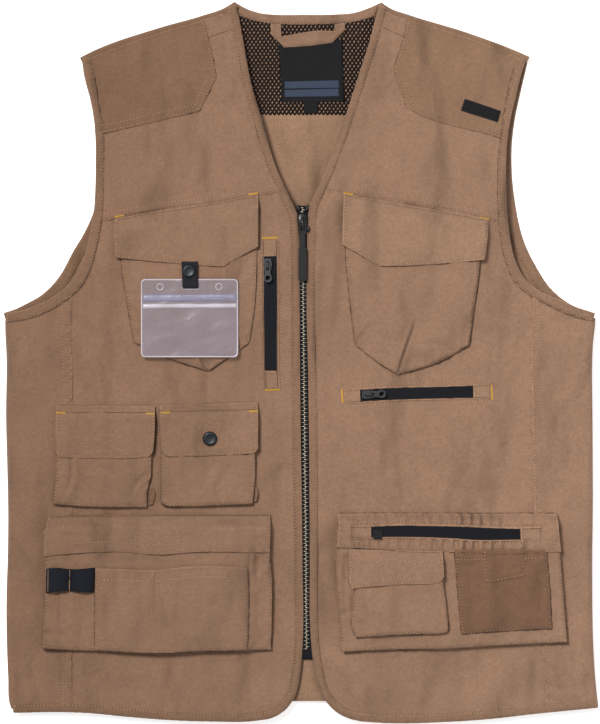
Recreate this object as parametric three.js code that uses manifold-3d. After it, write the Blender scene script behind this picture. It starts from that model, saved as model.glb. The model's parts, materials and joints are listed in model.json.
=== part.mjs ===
// Utility work vest, lying flat on its back with the front facing up.
// Millimetres. +Y runs to the neck, +Z is up, and the wearer's right side is at -X.
import * as THREE from 'three';
import * as BufferGeometryUtils from 'three/addons/utils/BufferGeometryUtils.js';
import Module from 'manifold-3d';

const wasm = await Module();
wasm.setup();

// Driving dimensions of the garment
const bodyLength = 721;
const bodyHalfWidth = 298;
const zipOffset = 5;
const shellWall = 1.2;
const bandWall = 1.8;
const liningWall = 0.8;
const labelWall = 0.5;
const webbingWall = 1.2;
const fit = 0.3;

// Heights of the underside of the front above the floor
const chestRise = 15.5;
const hemRise = 12;
const shoulderRise = 5;
const sideFall = 2;
const yokeFall = 7;
const shoulderRun = 45;
const backReturn = 42;

// Widths of the sewn edges
const armholeBandWidth = 11;
const frontBandWidth = 7.5;
const neckBandWidth = 10;
const shoulderFoldWidth = 4;
const zipGap = 7.4;
const tapeWidth = 30;

// Pockets: width, height, distance of the near edge from the zip and of the low edge from the hem.
// The chest pieces hang a drop below the inner end of the yoke seam instead.
const pocketWall = 1.2;
const flapWall = 1.6;
const chestPocketWidth = 136;
const chestPocketHeight = 158;
const chestPocketDepth = 7;
const chestPocketRightFromZip = 48;
const chestPocketLeftFromZip = 40.5;
const chestPocketDrop = 28;
const chestFlapWidth = 145;
const chestFlapHeight = 71.5;
const chestFlapDrop = 7.5;
const chestFlapRightFromZip = 47;
const chestFlapLeftFromZip = 37.5;
const chestFlapClimb = 17;
const smallPocketWidth = 96;
const smallPocketHeight = 91;
const smallPocketDepth = 7;
const smallPocketFromHem = 215.5;
const innerPocketFromZip = 50;
const outerPocketFromZip = 153;
const smallFlapWidth = 98;
const smallFlapHeight = 52;
const smallFlapFromHem = 265;
const smallFlapClimb = 15;
const cargoPocketWidth = 230;
const cargoPocketHeight = 124;
const cargoPocketDepth = 9;
const cargoPocketFromHem = 70;
const cargoRightFromZip = 33.5;
const cargoLeftFromZip = 30.5;
const cargoFlapWidth = 225;
const cargoFlapHeight = 41;
const cargoFlapFromHem = 166;
const cargoFlapClimb = 19;
const cargoZipWidth = 220.5;
const cargoZipHeight = 39;
const cargoZipFromZip = 32;
const cargoZipFromHem = 169;
const cargoZipClimb = 12;
const toolPocketWidth = 153.5;
const toolPocketHeight = 85.5;
const toolPocketDepth = 7;
const toolPocketFromZip = 56;
const toolPocketFromHem = 71;
const phonePocketWidth = 96;
const phonePocketHeight = 79;
const phonePocketDepth = 7;
const phonePocketFromZip = 47;
const phonePocketFromHem = 85;
const phoneFlapWidth = 95;
const phoneFlapHeight = 33;
const phoneFlapFromZip = 43;
const phoneFlapFromHem = 135;
const phoneFlapClimb = 12;
const notePocketWidth = 97;
const notePocketHeight = 74.5;
const notePocketDepth = 6.5;
const notePocketFromZip = 149;
const notePocketFromHem = 88.5;
const tabWidth = 41;
const tabHeight = 27;
const tabFromZip = 178;
const tabFromHem = 140.5;
const tabClimb = 6;

// Elastic tool loops
const elasticWidth = 48;
const elasticHeight = 23;
const elasticWall = 1.3;
const elasticRise = 7;
const elasticFromEdge = 5.5;
const elasticFromHem = 131;

// Zips
const mainStopLength = 6;
const mainChainWidth = 6.4;
const mainChainHeight = 2.4;
const chestZipLength = 152;
const chestZipWidth = 15.5;
const chestZipFromZip = 27;
const chestZipDrop = 51;
const waistZipLength = 150;
const waistZipWidth = 16;
const waistZipFromZip = 37;
const waistZipBelowYoke = 214.471;
const zipWindow = 11.6;
const zipTabLength = 17;
const zipFrameEnd = 4;
const chestZipLean = 1.2;
const waistZipLean = 2.3;
const zipTapeWall = 0.9;
const smallChainWidth = 4.4;
const smallChainHeight = 1.3;

const mainSliderLength = 28;
const mainSliderWidth = 12;
const mainSliderHeight = 2.4;
const mainArchWidth = 3.2;
const mainArchHeight = 4.4;
const mainPullLength = 60;
const mainSliderAbove = 5.5;
const mainTagWidth = 8.3;
const mainTagLength = 32;
const mainTagWall = 2.4;
const mainStrapWidth = 5.4;
const pullBar = 1.2;
const smallSliderLength = 14;
const smallSliderWidth = 9;
const smallSliderHeight = 1.8;
const smallArchWidth = 2.2;
const smallArchHeight = 3.6;
const smallRingRadius = 4.4;
const smallPullLength = 17;
const cargoSliderSize = 8.8;
const cargoSliderHeight = 2.2;

// Badge holder and closures
const badgeWidth = 97.6;
const badgeHeight = 79;
const badgeWall = 1.4;
const badgeRim = 2.2;
const badgeCorner = 4.5;
const badgeSlotDrop = 7.5;
const eyeletRadius = 3.2;
const badgeFromZip = 66.4;
const badgeDrop = 92;
const badgeStrapWidth = 16;
const badgeStrapLength = 23.5;
const snapDiameter = 14.5;
const snapHeight = 2.2;

// Neck pieces
const neckLabelWidth = 64;
const neckLabelHeight = 57;
const neckLabelTilt = 2.5;
const sizeLabelWidth = 13.8;
const sizeLabelHeight = 11.7;
const shoulderLabelLength = 37;
const shoulderLabelHeight = 12;
const shoulderLabelSlant = -18;
const loopWidth = 73;
const loopDrop = 23;
const netGapWidth = 4.6;
const netGapHeight = 6.4;
const netPitch = 11.5;

// Places worked out from the sizes
const topY = bodyLength / 2;
const hemY = -bodyLength / 2;
const backTop = shellWall;
const farAway = bodyHalfWidth + bodyLength;
const creaseShare = 0.249;
const creaseY = topY - creaseShare * bodyLength;

// A point of the garment from its shares of the half width and of the length
function spot(row) {
  return new THREE.Vector2(row.out * bodyHalfWidth, topY - row.down * bodyLength);
}

// Edges of the garment. out: share of the half width from the middle. down: share of the length.
const vEdgeRight = [
  { out: -0.214, down: 0.0 },
  { out: -0.199, down: 0.041 },
  { out: -0.146, down: 0.141 },
  { out: -0.076, down: 0.237 },
  { out: -0.018, down: 0.286 },
];
const vEdgeLeft = [
  { out: 0.266, down: 0.001 },
  { out: 0.245, down: 0.036 },
  { out: 0.193, down: 0.112 },
  { out: 0.096, down: 0.219 },
  { out: 0.033, down: 0.284 },
];
const zipLine = [
  { out: 0.0085, down: 0.293 },
  { out: 0.011, down: 0.4 },
  { out: 0.019, down: 0.6 },
  { out: 0.021, down: 0.909 },
];
const hemRight = [
  { out: -0.03, down: 0.972 },
  { out: -0.062, down: 0.99 },
  { out: -0.149, down: 0.998 },
  { out: -0.292, down: 1.0 },
  { out: -0.578, down: 0.993 },
  { out: -0.768, down: 0.987 },
];
const hemLeft = [
  { out: 0.085, down: 0.974 },
  { out: 0.125, down: 0.987 },
  { out: 0.25, down: 1.0 },
  { out: 0.5, down: 0.999 },
  { out: 0.836, down: 0.987 },
];
const sideRight = [
  { out: -1.0, down: 0.432 },
  { out: -0.988, down: 0.487 },
  { out: -0.989, down: 0.58 },
  { out: -0.982, down: 0.717 },
  { out: -0.986, down: 0.85 },
  { out: -0.974, down: 0.989 },
];
const sideLeft = [
  { out: 0.996, down: 0.433 },
  { out: 0.984, down: 0.487 },
  { out: 0.983, down: 0.58 },
  { out: 0.984, down: 0.717 },
  { out: 0.985, down: 0.85 },
  { out: 1.0, down: 0.983 },
];
const seamRight = [
  { out: -0.767, down: 0.39 },
  { out: -0.771, down: 0.45 },
  { out: -0.764, down: 0.55 },
  { out: -0.767, down: 0.99 },
];
const seamLeft = [
  { out: 0.782, down: 0.39 },
  { out: 0.779, down: 0.5 },
  { out: 0.788, down: 0.7 },
  { out: 0.812, down: 0.9 },
  { out: 0.834, down: 0.99 },
];
const armholeFrontRight = [
  { out: -0.738, down: 0.077 },
  { out: -0.705, down: 0.137 },
  { out: -0.688, down: 0.195 },
  { out: -0.688, down: 0.265 },
  { out: -0.702, down: 0.318 },
  { out: -0.745, down: 0.381 },
  { out: -0.836, down: 0.413 },
  { out: -0.93, down: 0.428 },
  { out: -1.0, down: 0.432 },
];
const armholeFrontLeft = [
  { out: 0.769, down: 0.076 },
  { out: 0.738, down: 0.131 },
  { out: 0.7, down: 0.198 },
  { out: 0.692, down: 0.255 },
  { out: 0.705, down: 0.322 },
  { out: 0.745, down: 0.381 },
  { out: 0.83, down: 0.408 },
  { out: 0.924, down: 0.425 },
  { out: 0.996, down: 0.433 },
];
const armholeBackRight = [
  { out: -0.738, down: 0.077 },
  { out: -0.705, down: 0.137 },
  { out: -0.688, down: 0.195 },
  { out: -0.689, down: 0.262 },
  { out: -0.72, down: 0.318 },
  { out: -0.789, down: 0.362 },
  { out: -0.865, down: 0.404 },
  { out: -0.94, down: 0.424 },
  { out: -1.0, down: 0.432 },
];
const armholeBackLeft = [
  { out: 0.769, down: 0.076 },
  { out: 0.738, down: 0.131 },
  { out: 0.713, down: 0.195 },
  { out: 0.714, down: 0.255 },
  { out: 0.743, down: 0.319 },
  { out: 0.801, down: 0.373 },
  { out: 0.862, down: 0.405 },
  { out: 0.938, down: 0.426 },
  { out: 0.996, down: 0.433 },
];
const neckEdge = [
  { out: -0.214, down: 0.0 },
  { out: -0.15, down: 0.0135 },
  { out: -0.074, down: 0.0185 },
  { out: 0.07, down: 0.0185 },
  { out: 0.2, down: 0.0135 },
  { out: 0.266, down: 0.001 },
];
const yokeSeamRight = [
  { out: -0.76, down: 0.32 },
  { out: -0.668, down: 0.305 },
  { out: -0.46, down: 0.289 },
  { out: -0.27, down: 0.281 },
  { out: -0.04, down: 0.258 },
];
const yokeSeamLeft = [
  { out: 0.76, down: 0.316 },
  { out: 0.668, down: 0.307 },
  { out: 0.45, down: 0.286 },
  { out: 0.24, down: 0.274 },
  { out: 0.05, down: 0.258 },
];
const patchRight = [
  { out: -0.32, down: -0.02 },
  { out: -0.31, down: 0.05 },
  { out: -0.281, down: 0.106 },
  { out: -0.338, down: 0.152 },
  { out: -0.461, down: 0.165 },
  { out: -0.66, down: 0.184 },
  { out: -0.9, down: 0.205 },
  { out: -0.9, down: -0.02 },
];
const patchLeft = [
  { out: 0.375, down: -0.02 },
  { out: 0.35, down: 0.049 },
  { out: 0.315, down: 0.094 },
  { out: 0.359, down: 0.147 },
  { out: 0.5, down: 0.167 },
  { out: 0.671, down: 0.189 },
  { out: 0.9, down: 0.22 },
  { out: 0.9, down: -0.02 },
];
const backHem = [
  { out: -0.74, down: 0.985 },
  { out: -0.3, down: 0.985 },
  { out: -0.05, down: 0.971 },
  { out: 0.09, down: 0.971 },
  { out: 0.35, down: 0.985 },
  { out: 0.8, down: 0.982 },
];
const liningLow = [
  { out: -0.2, down: 0.156 },
  { out: 0.22, down: 0.156 },
];

// Soft troughs pressed into the front. wide and long: shares of the half width and the length.
const frontFolds = [
  { out: -0.72, down: 0.52, wide: 0.035, long: 0.07, turn: 20, depth: 1.6 },
  { out: -0.11, down: 0.44, wide: 0.03, long: 0.08, turn: -8, depth: 1.2 },
  { out: -0.08, down: 0.67, wide: 0.035, long: 0.06, turn: 12, depth: 1.4 },
  { out: -0.5, down: 0.955, wide: 0.09, long: 0.018, turn: 4, depth: 1.2 },
  { out: 0.7, down: 0.48, wide: 0.04, long: 0.08, turn: -24, depth: 1.6 },
  { out: 0.35, down: 0.64, wide: 0.1, long: 0.02, turn: 10, depth: 1.5 },
  { out: 0.66, down: 0.62, wide: 0.09, long: 0.02, turn: -16, depth: 1.5 },
  { out: 0.45, down: 0.955, wide: 0.1, long: 0.016, turn: -4, depth: 1.2 },
  { out: -0.52, down: 0.24, wide: 0.1, long: 0.02, turn: 14, depth: 1.4 },
  { out: 0.5, down: 0.235, wide: 0.1, long: 0.02, turn: -12, depth: 1.4 },
  { out: -0.24, down: 0.2, wide: 0.03, long: 0.05, turn: -20, depth: 1.2 },
  { out: 0.28, down: 0.19, wide: 0.03, long: 0.05, turn: 22, depth: 1.2 },
];

// Underside of the front: the lowest of the body, yoke and shoulder slopes
function frontUnder(x, y) {
  const across = (sideFall / (0.77 * bodyHalfWidth)) * Math.abs(x - zipOffset);
  const bodySlope = (chestRise - hemRise) / (creaseY - hemY);
  const body = chestRise - bodySlope * (creaseY - y);
  const yoke = chestRise - (yokeFall / (topY - creaseY)) * (y - creaseY);
  const shoulder = shoulderRise + (shoulderDistance(x, y) / shoulderRun) * (yokeFall * 0.6);
  return Math.max(Math.min(Math.min(body, yoke) - across, shoulder), shoulderRise);
}

function frontTop(x, y) {
  return frontUnder(x, y) + shellWall;
}

// Distance of a place below the shoulder fold, which runs from the neck to the arm
function shoulderDistance(x, y) {
  const neck = spot(x < zipOffset ? vEdgeRight[0] : vEdgeLeft[0]);
  const arm = spot(x < zipOffset ? armholeFrontRight[0] : armholeFrontLeft[0]);
  const run = arm.clone().sub(neck).normalize();
  return Math.abs(run.x * (y - neck.y) - run.y * (x - neck.x));
}

function foldDepth(x, y) {
  let depth = 0;
  for (const fold of frontFolds) {
    const middle = spot(fold);
    const turn = THREE.MathUtils.degToRad(fold.turn);
    const dx = x - middle.x;
    const dy = y - middle.y;
    const along = dx * Math.cos(turn) + dy * Math.sin(turn);
    const over = -dx * Math.sin(turn) + dy * Math.cos(turn);
    const wide = fold.wide * bodyHalfWidth;
    const long = fold.long * bodyLength;
    depth += fold.depth * Math.exp(-((along / wide) ** 2) - (over / long) ** 2);
  }
  return depth < 0.12 ? 0 : depth;
}

// Turn a closed three.js geometry into a solid, and a solid back into a geometry
function solid(geometry) {
  const bare = geometry.index ? geometry.toNonIndexed() : geometry.clone();
  bare.deleteAttribute('normal');
  bare.deleteAttribute('uv');
  const merged = BufferGeometryUtils.mergeVertices(bare, 1e-4);
  return new wasm.Manifold(new wasm.Mesh({
    numProp: 3,
    vertProperties: Float32Array.from(merged.attributes.position.array),
    triVerts: Uint32Array.from(merged.index.array),
  }));
}

function geometryOf(body) {
  const mesh = body.getMesh();
  const geometry = new THREE.BufferGeometry();
  geometry.setAttribute('position', new THREE.BufferAttribute(mesh.vertProperties, 3));
  geometry.setIndex(new THREE.BufferAttribute(mesh.triVerts, 1));
  return geometry;
}

// A solid whose points are all moved by a rule
function bent(body, rule) {
  const geometry = geometryOf(body);
  const place = geometry.attributes.position;
  const point = new THREE.Vector3();
  for (let i = 0; i < place.count; i += 1) {
    point.fromBufferAttribute(place, i);
    rule(point);
    place.setXYZ(i, point.x, point.y, point.z);
  }
  return solid(geometry);
}

// Lift what was made flat over the front cloth onto its slope
function onFront(body) {
  return bent(body, (p) => {
    p.z += frontTop(p.x, p.y);
  });
}

// Upright prism of an outline between two heights
function prism(points, low, high) {
  const shape = new THREE.Shape(points);
  const geometry = new THREE.ExtrudeGeometry(shape, { depth: high - low, bevelEnabled: false });
  geometry.translate(0, 0, low);
  return solid(geometry);
}

const floorBelow = -5;
const skyAbove = 80;

function cutter(points) {
  return prism(points, floorBelow, skyAbove);
}

function smooth(rows, steps) {
  return new THREE.SplineCurve(rows.map(spot)).getPoints(steps);
}

function moved(points, dx, dy) {
  return points.map((p) => new THREE.Vector2(p.x + dx, p.y + dy));
}

// Points of a line shifted sideways to its left
function besideLine(points, distance) {
  return points.map((p, i) => {
    const before = points[Math.max(i - 1, 0)];
    const after = points[Math.min(i + 1, points.length - 1)];
    const run = after.clone().sub(before).normalize();
    return new THREE.Vector2(p.x - run.y * distance, p.y + run.x * distance);
  });
}

function strip(points, near, far) {
  return [...besideLine(points, near), ...besideLine(points, far).reverse()];
}

function turnedArea(points) {
  return THREE.ShapeUtils.area(points);
}

// Closed outline moved outwards, or inwards with a negative distance
function grown(points, distance) {
  const ring = turnedArea(points) > 0 ? points : [...points].reverse();
  const count = ring.length;
  return ring.map((p, i) => {
    const inRun = p.clone().sub(ring[(i + count - 1) % count]).normalize();
    const outRun = ring[(i + 1) % count].clone().sub(p).normalize();
    const normalIn = new THREE.Vector2(inRun.y, -inRun.x);
    const normalOut = new THREE.Vector2(outRun.y, -outRun.x);
    const middle = normalIn.clone().add(normalOut).normalize();
    const reach = distance / Math.max(middle.dot(normalIn), 0.5);
    return p.clone().addScaledVector(middle, reach);
  });
}

// Closed mesh from a grid of upper points and a rule for the wall below each
function gridSolid(columns, rows, upper, lower) {
  const points = [];
  for (const layer of [upper, lower]) {
    for (let j = 0; j <= rows; j += 1) {
      for (let i = 0; i <= columns; i += 1) {
        points.push(...layer(i, j));
      }
    }
  }
  const size = (columns + 1) * (rows + 1);
  const at = (layer, i, j) => layer * size + j * (columns + 1) + i;
  const faces = [];
  const quad = (a, b, c, d) => faces.push(a, b, c, a, c, d);
  for (let j = 0; j < rows; j += 1) {
    for (let i = 0; i < columns; i += 1) {
      quad(at(0, i, j), at(0, i + 1, j), at(0, i + 1, j + 1), at(0, i, j + 1));
      quad(at(1, i, j), at(1, i, j + 1), at(1, i + 1, j + 1), at(1, i + 1, j));
    }
  }
  for (let i = 0; i < columns; i += 1) {
    quad(at(1, i, 0), at(1, i + 1, 0), at(0, i + 1, 0), at(0, i, 0));
    quad(at(0, i, rows), at(0, i + 1, rows), at(1, i + 1, rows), at(1, i, rows));
  }
  for (let j = 0; j < rows; j += 1) {
    quad(at(0, 0, j), at(0, 0, j + 1), at(1, 0, j + 1), at(1, 0, j));
    quad(at(1, columns, j), at(1, columns, j + 1), at(0, columns, j + 1), at(0, columns, j));
  }
  const geometry = new THREE.BufferGeometry();
  geometry.setAttribute('position', new THREE.Float32BufferAttribute(points, 3));
  geometry.setIndex(faces);
  return solid(geometry);
}

// A layer of cloth over the whole garment, following an underside rule
const clothStep = 21;

function clothLayer(under, wall) {
  const columns = Math.ceil((2.1 * bodyHalfWidth) / clothStep);
  const rows = Math.ceil((1.05 * bodyLength) / clothStep);
  const at = (i, j) => {
    const x = (i - columns / 2) * clothStep;
    const y = creaseY + (j - Math.ceil((creaseY - hemY + clothStep) / clothStep)) * clothStep;
    return [x, y];
  };
  const upper = (i, j) => {
    const [x, y] = at(i, j);
    return [x, y, under(x, y) + wall];
  };
  const lower = (i, j) => {
    const [x, y] = at(i, j);
    return [x, y, under(x, y)];
  };
  return gridSolid(columns, rows, upper, lower);
}

const frontCloth = clothLayer((x, y) => frontUnder(x, y) - foldDepth(x, y), shellWall);
const frontBandCloth = clothLayer(frontUnder, bandWall);

// A closed outline of a pocket or flap from shares of its width and height
function boxed(rows, left, top, width, height) {
  return rows.map((row) => new THREE.Vector2(left + row.across * width, top - row.down * height));
}

const colours = {
  shell: 0x8e6d5a,
  shellLight: 0x9d7d69,
  patch: 0x86664f,
  band: 0x80624f,
  flap: 0x96765f,
  net: 0x24222a,
  black: 0x222430,
  teeth: 0x4a3c30,
  metal: 0x3a3c40,
  clear: 0xa8989c,
};

const vest = new THREE.Group();

function add(name, body, colour, roughness, metalness) {
  const geometry = geometryOf(body).toNonIndexed();
  geometry.computeVertexNormals();
  const material = new THREE.MeshStandardMaterial({ color: colour, roughness, metalness });
  const mesh = new THREE.Mesh(geometry, material);
  mesh.name = name;
  vest.add(mesh);
}

function addCloth(name, body, colour) {
  add(name, body, colour, 0.92, 0);
}

// The two fronts: edges on each side, from the neck down and from the shoulder down
const sides = {
  right: {
    sign: -1,
    vEdge: vEdgeRight,
    hem: hemRight,
    side: sideRight,
    seam: seamRight,
    front: armholeFrontRight,
    back: armholeBackRight,
    yoke: yokeSeamRight,
    patch: patchRight,
  },
  left: {
    sign: 1,
    vEdge: vEdgeLeft,
    hem: hemLeft,
    side: sideLeft,
    seam: seamLeft,
    front: armholeFrontLeft,
    back: armholeBackLeft,
    yoke: yokeSeamLeft,
    patch: patchLeft,
  },
};

const zipCurve = smooth(zipLine, 8);

// Hem of one front from the zip to the side seam; its first steps are the rounded corner
const cornerSteps = 7;

function hemLine(side) {
  return smooth(side.hem, 3 * (side.hem.length - 1));
}

// Edge of one front beside the zip, from the shoulder to the rounded corner at the hem
function frontEdge(side) {
  const neck = smooth(side.vEdge, 12);
  const besideZip = moved(zipCurve, (side.sign * zipGap) / 2, 0);
  return [...neck, ...besideZip.slice(1), ...hemLine(side).slice(0, cornerSteps)];
}

function seamX(side, y) {
  const rows = side.seam.map(spot);
  return alongTable(rows, y);
}

function alongTable(rows, y) {
  if (y >= rows[0].y) {
    return rows[0].x;
  }
  for (let i = 1; i < rows.length; i += 1) {
    if (y >= rows[i].y) {
      const share = (y - rows[i].y) / (rows[i - 1].y - rows[i].y);
      return rows[i].x + share * (rows[i - 1].x - rows[i].x);
    }
  }
  return rows[rows.length - 1].x;
}

// Whole outline of a front, from the neck round by the hem, side seam and armhole
function frontOutline(side) {
  const seam = side.seam.map(spot).reverse().map((p) => {
    return new THREE.Vector2(p.x - side.sign * fit * 0.5, p.y);
  });
  const armhole = smooth(side.front, 24).filter((p) => Math.abs(p.x) < Math.abs(seamX(side, p.y)));
  const hem = hemLine(side).slice(cornerSteps).filter((p) => {
    return Math.abs(p.x) < Math.abs(seam[0].x) - 1;
  });
  const last = hem[hem.length - 1];
  seam[0].y = last.y;
  const edge = frontEdge(side);
  const shifted = shoulderLine(side, shoulderFoldWidth, 0);
  return [
    ...edge.filter((p) => p.y < shifted[1].y),
    ...hem,
    ...seam,
    ...armhole.reverse().filter((p) => p.y < shifted[0].y),
    ...shifted,
  ];
}

// Line across the shoulder from the arm to the neck, below the fold and run out past both ends
function shoulderLine(side, below, past) {
  const neck = spot(side.vEdge[0]);
  const arm = spot(side.front[0]);
  const run = arm.clone().sub(neck).normalize();
  const down = new THREE.Vector2(run.y, -run.x).multiplyScalar(run.x > 0 ? below : -below);
  return [
    arm.clone().add(down).addScaledVector(run, past),
    neck.clone().add(down).addScaledVector(run, -past),
  ];
}

function halfPlane(line, up) {
  const level = up ? farAway : -farAway;
  const first = line[0];
  const last = line[line.length - 1];
  return [...line, new THREE.Vector2(last.x, level), new THREE.Vector2(first.x, level)];
}

function buildFront(name, side) {
  const whole = cutter(frontOutline(side));
  const inward = side.sign;
  const armLine = smooth(side.front, 24);
  const edgeLine = frontEdge(side);
  const armCut = cutter(strip(armLine, inward * 3, -inward * (armholeBandWidth + fit)));
  const edgeCut = cutter(strip(edgeLine, -inward * 3, inward * (frontBandWidth + fit)));
  const body = whole.subtract(armCut).subtract(edgeCut);
  const seamLine = smooth(side.yoke, 8);
  const below = cutter(halfPlane(moved(seamLine, 0, -fit / 2), false));
  const above = cutter(halfPlane(moved(seamLine, 0, fit / 2), true));
  const patch = side.patch.map(spot);
  addCloth(`front_panel_${name}`, frontCloth.intersect(body.intersect(below)), colours.shellLight);
  const upper = body.intersect(above);
  const yoke = upper.subtract(cutter(grown(patch, fit)));
  addCloth(`front_yoke_${name}`, frontCloth.intersect(yoke), colours.shell);
  addCloth(`shoulder_patch_${name}`, frontCloth.intersect(upper.intersect(cutter(patch))), colours.patch);
  const limit = cutter(bandLimit(side));
  const armBand = cutter(strip(armLine, 0, -inward * armholeBandWidth)).intersect(limit);
  addCloth(`armhole_band_front_${name}`, frontBandCloth.intersect(armBand), colours.band);
  const edgeBand = cutter(strip(edgeLine, 0, inward * frontBandWidth)).intersect(limit);
  addCloth(`front_band_${name}`, frontBandCloth.intersect(edgeBand), colours.band);
}

function box2(x0, y0, x1, y1) {
  return [
    new THREE.Vector2(x0, y0),
    new THREE.Vector2(x1, y0),
    new THREE.Vector2(x1, y1),
    new THREE.Vector2(x0, y1),
  ];
}

function centredBox(x, y, width, height) {
  return box2(x - width / 2, y - height / 2, x + width / 2, y + height / 2);
}

// Where the edge bands may lie: below the shoulder fold and inside the round of the side
function bandLimit(side) {
  const reach = bodyHalfWidth - hemRise;
  const line = shoulderLine(side, shoulderFoldWidth, bandWall);
  return [
    ...line,
    new THREE.Vector2(0, line[1].y),
    new THREE.Vector2(0, hemY * 1.1),
    new THREE.Vector2(side.sign * reach, hemY * 1.1),
    new THREE.Vector2(side.sign * reach, line[0].y),
  ];
}

// Side panel: the cloth between the side seams, folded round the side of the body
function sideSection(side, y) {
  const foldX = alongTable(side.side.map(spot), y);
  const startX = seamX(side, y) + side.sign * fit * 0.5;
  const radius = frontTop(foldX, y) / 2;
  const turnX = foldX - side.sign * radius;
  const endX = foldX - side.sign * backReturn;
  const middle = frontTop(turnX, y) / 2;
  const outer = [];
  const inner = [];
  const push = (x, z, xIn, zIn) => {
    outer.push([x, y, z]);
    inner.push([xIn, y, zIn]);
  };
  push(startX, frontTop(startX, y), startX, frontUnder(startX, y));
  const bends = 6;
  for (let i = 0; i <= bends; i += 1) {
    const angle = Math.PI / 2 - (Math.PI * i) / bends;
    const out = side.sign * Math.cos(angle);
    const wall = shellWall;
    push(
      turnX + out * radius,
      middle + middle * Math.sin(angle),
      turnX + out * (radius - wall),
      middle + (middle - wall) * Math.sin(angle),
    );
  }
  push(endX, 0, endX, shellWall);
  return [...outer, ...inner.reverse()];
}

// Closed mesh through sections that share one count of points, with a band-shaped cap at each end
function loft(sections) {
  const count = sections[0].length;
  const points = sections.flat(2);
  const faces = [];
  const at = (s, i) => s * count + (i % count);
  for (let s = 0; s + 1 < sections.length; s += 1) {
    for (let i = 0; i < count; i += 1) {
      faces.push(at(s, i), at(s, i + 1), at(s + 1, i + 1));
      faces.push(at(s, i), at(s + 1, i + 1), at(s + 1, i));
    }
  }
  const last = sections.length - 1;
  for (let i = 0; i + 1 < count / 2; i += 1) {
    const j = count - 1 - i;
    faces.push(at(0, i), at(0, j), at(0, j - 1));
    faces.push(at(0, i), at(0, j - 1), at(0, i + 1));
    faces.push(at(last, i), at(last, j - 1), at(last, j));
    faces.push(at(last, i), at(last, i + 1), at(last, j - 1));
  }
  const geometry = new THREE.BufferGeometry();
  geometry.setAttribute('position', new THREE.Float32BufferAttribute(points, 3));
  geometry.setIndex(faces);
  const body = solid(geometry);
  return body.volume() > 0 ? body : solid(flipped(geometry));
}

function flipped(geometry) {
  const turned = geometry.clone();
  const index = turned.index.array;
  for (let i = 0; i < index.length; i += 3) {
    const keep = index[i];
    index[i] = index[i + 1];
    index[i + 1] = keep;
  }
  return turned;
}

const sideStations = [0.36, 0.4, 0.45, 0.5, 0.56, 0.62, 0.7, 0.78, 0.86, 0.93, 0.987];

function buildSide(name, side) {
  const sections = sideStations.map((down) => sideSection(side, topY - down * bodyLength));
  const whole = loft(sections);
  const reach = side.sign * farAway;
  const middleZ = hemRise / 2;
  const frontLine = besideLine(smooth(side.front, 24), -side.sign * (armholeBandWidth + fit));
  const backLine = besideLine(smooth(side.back, 24), -side.sign * (armholeBandWidth + fit));
  const tipY = spot(side.front[side.front.length - 1]).y;
  const above = (line) => [
    ...line.filter((p) => Math.abs(p.x) < bodyHalfWidth - hemRise - fit),
    new THREE.Vector2(side.sign * (bodyHalfWidth - hemRise), line[line.length - 1].y),
    new THREE.Vector2(side.sign * (bodyHalfWidth - hemRise), tipY),
    new THREE.Vector2(reach, tipY),
    new THREE.Vector2(reach, farAway),
    new THREE.Vector2(line[0].x, farAway),
  ];
  const cut = whole
    .subtract(prism(above(frontLine), middleZ, skyAbove))
    .subtract(prism(above(backLine), floorBelow, middleZ));
  addCloth(`side_panel_${name}`, cut, colours.shellLight);
}

// Cloth folded over the shoulder, from the neck to the arm
function buildShoulderFold(name, side) {
  const neck = spot(side.vEdge[0]);
  const arm = spot(side.front[0]);
  const run = arm.clone().sub(neck).normalize();
  const up = new THREE.Vector2(-run.y, run.x);
  if (up.y < 0) {
    up.negate();
  }
  const top = shoulderRise + shellWall;
  const middle = top / 2;
  const stations = 3;
  const sections = [];
  for (let s = 0; s <= stations; s += 1) {
    const place = neck.clone().lerp(arm, s / stations);
    const outer = [];
    const inner = [];
    const bends = 5;
    for (let i = 0; i <= bends; i += 1) {
      const angle = Math.PI / 2 - (Math.PI * i) / bends;
      const out = Math.cos(angle) * (shoulderFoldWidth - fit) - shoulderFoldWidth + fit;
      const inside = Math.cos(angle) * (shoulderFoldWidth - fit - shellWall) - shoulderFoldWidth + fit;
      const high = Math.sin(angle);
      outer.push([place.x + up.x * out, place.y + up.y * out, middle + middle * high]);
      const wall = middle - shellWall;
      inner.push([place.x + up.x * inside, place.y + up.y * inside, middle + wall * high]);
    }
    sections.push([...outer, ...inner.reverse()]);
  }
  addCloth(`shoulder_fold_${name}`, loft(sections), colours.patch);
}

// Back panel on the floor, with its armhole bands
function backOutline() {
  const right = smooth(armholeBackRight, 24).filter((p) => p.x > -bodyHalfWidth + backReturn + fit);
  const left = smooth(armholeBackLeft, 24).filter((p) => p.x < bodyHalfWidth - backReturn - fit);
  const neck = smooth(neckEdge, 10);
  const shoulderDrop = (points, drop) => points.map((p) => new THREE.Vector2(p.x, p.y - drop));
  const stations = sideStations.filter((down) => down > 0.44);
  const edge = (side) => stations.map((down) => {
    const y = topY - down * bodyLength;
    const foldX = alongTable(side.side.map(spot), y);
    return new THREE.Vector2(foldX - side.sign * (backReturn + fit), y);
  });
  const hem = smooth(backHem, 8);
  const inset = (p, i, all) => (i === 0 ? new THREE.Vector2(p.x, p.y - shoulderFoldWidth) : p);
  return [
    ...shoulderDrop(neck, shoulderFoldWidth),
    ...left.map(inset),
    ...edge(sides.left),
    ...[...hem].reverse().filter((p) => Math.abs(p.x) < bodyHalfWidth * 0.8),
    ...edge(sides.right).reverse(),
    ...[...right].map(inset).reverse(),
  ];
}

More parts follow.
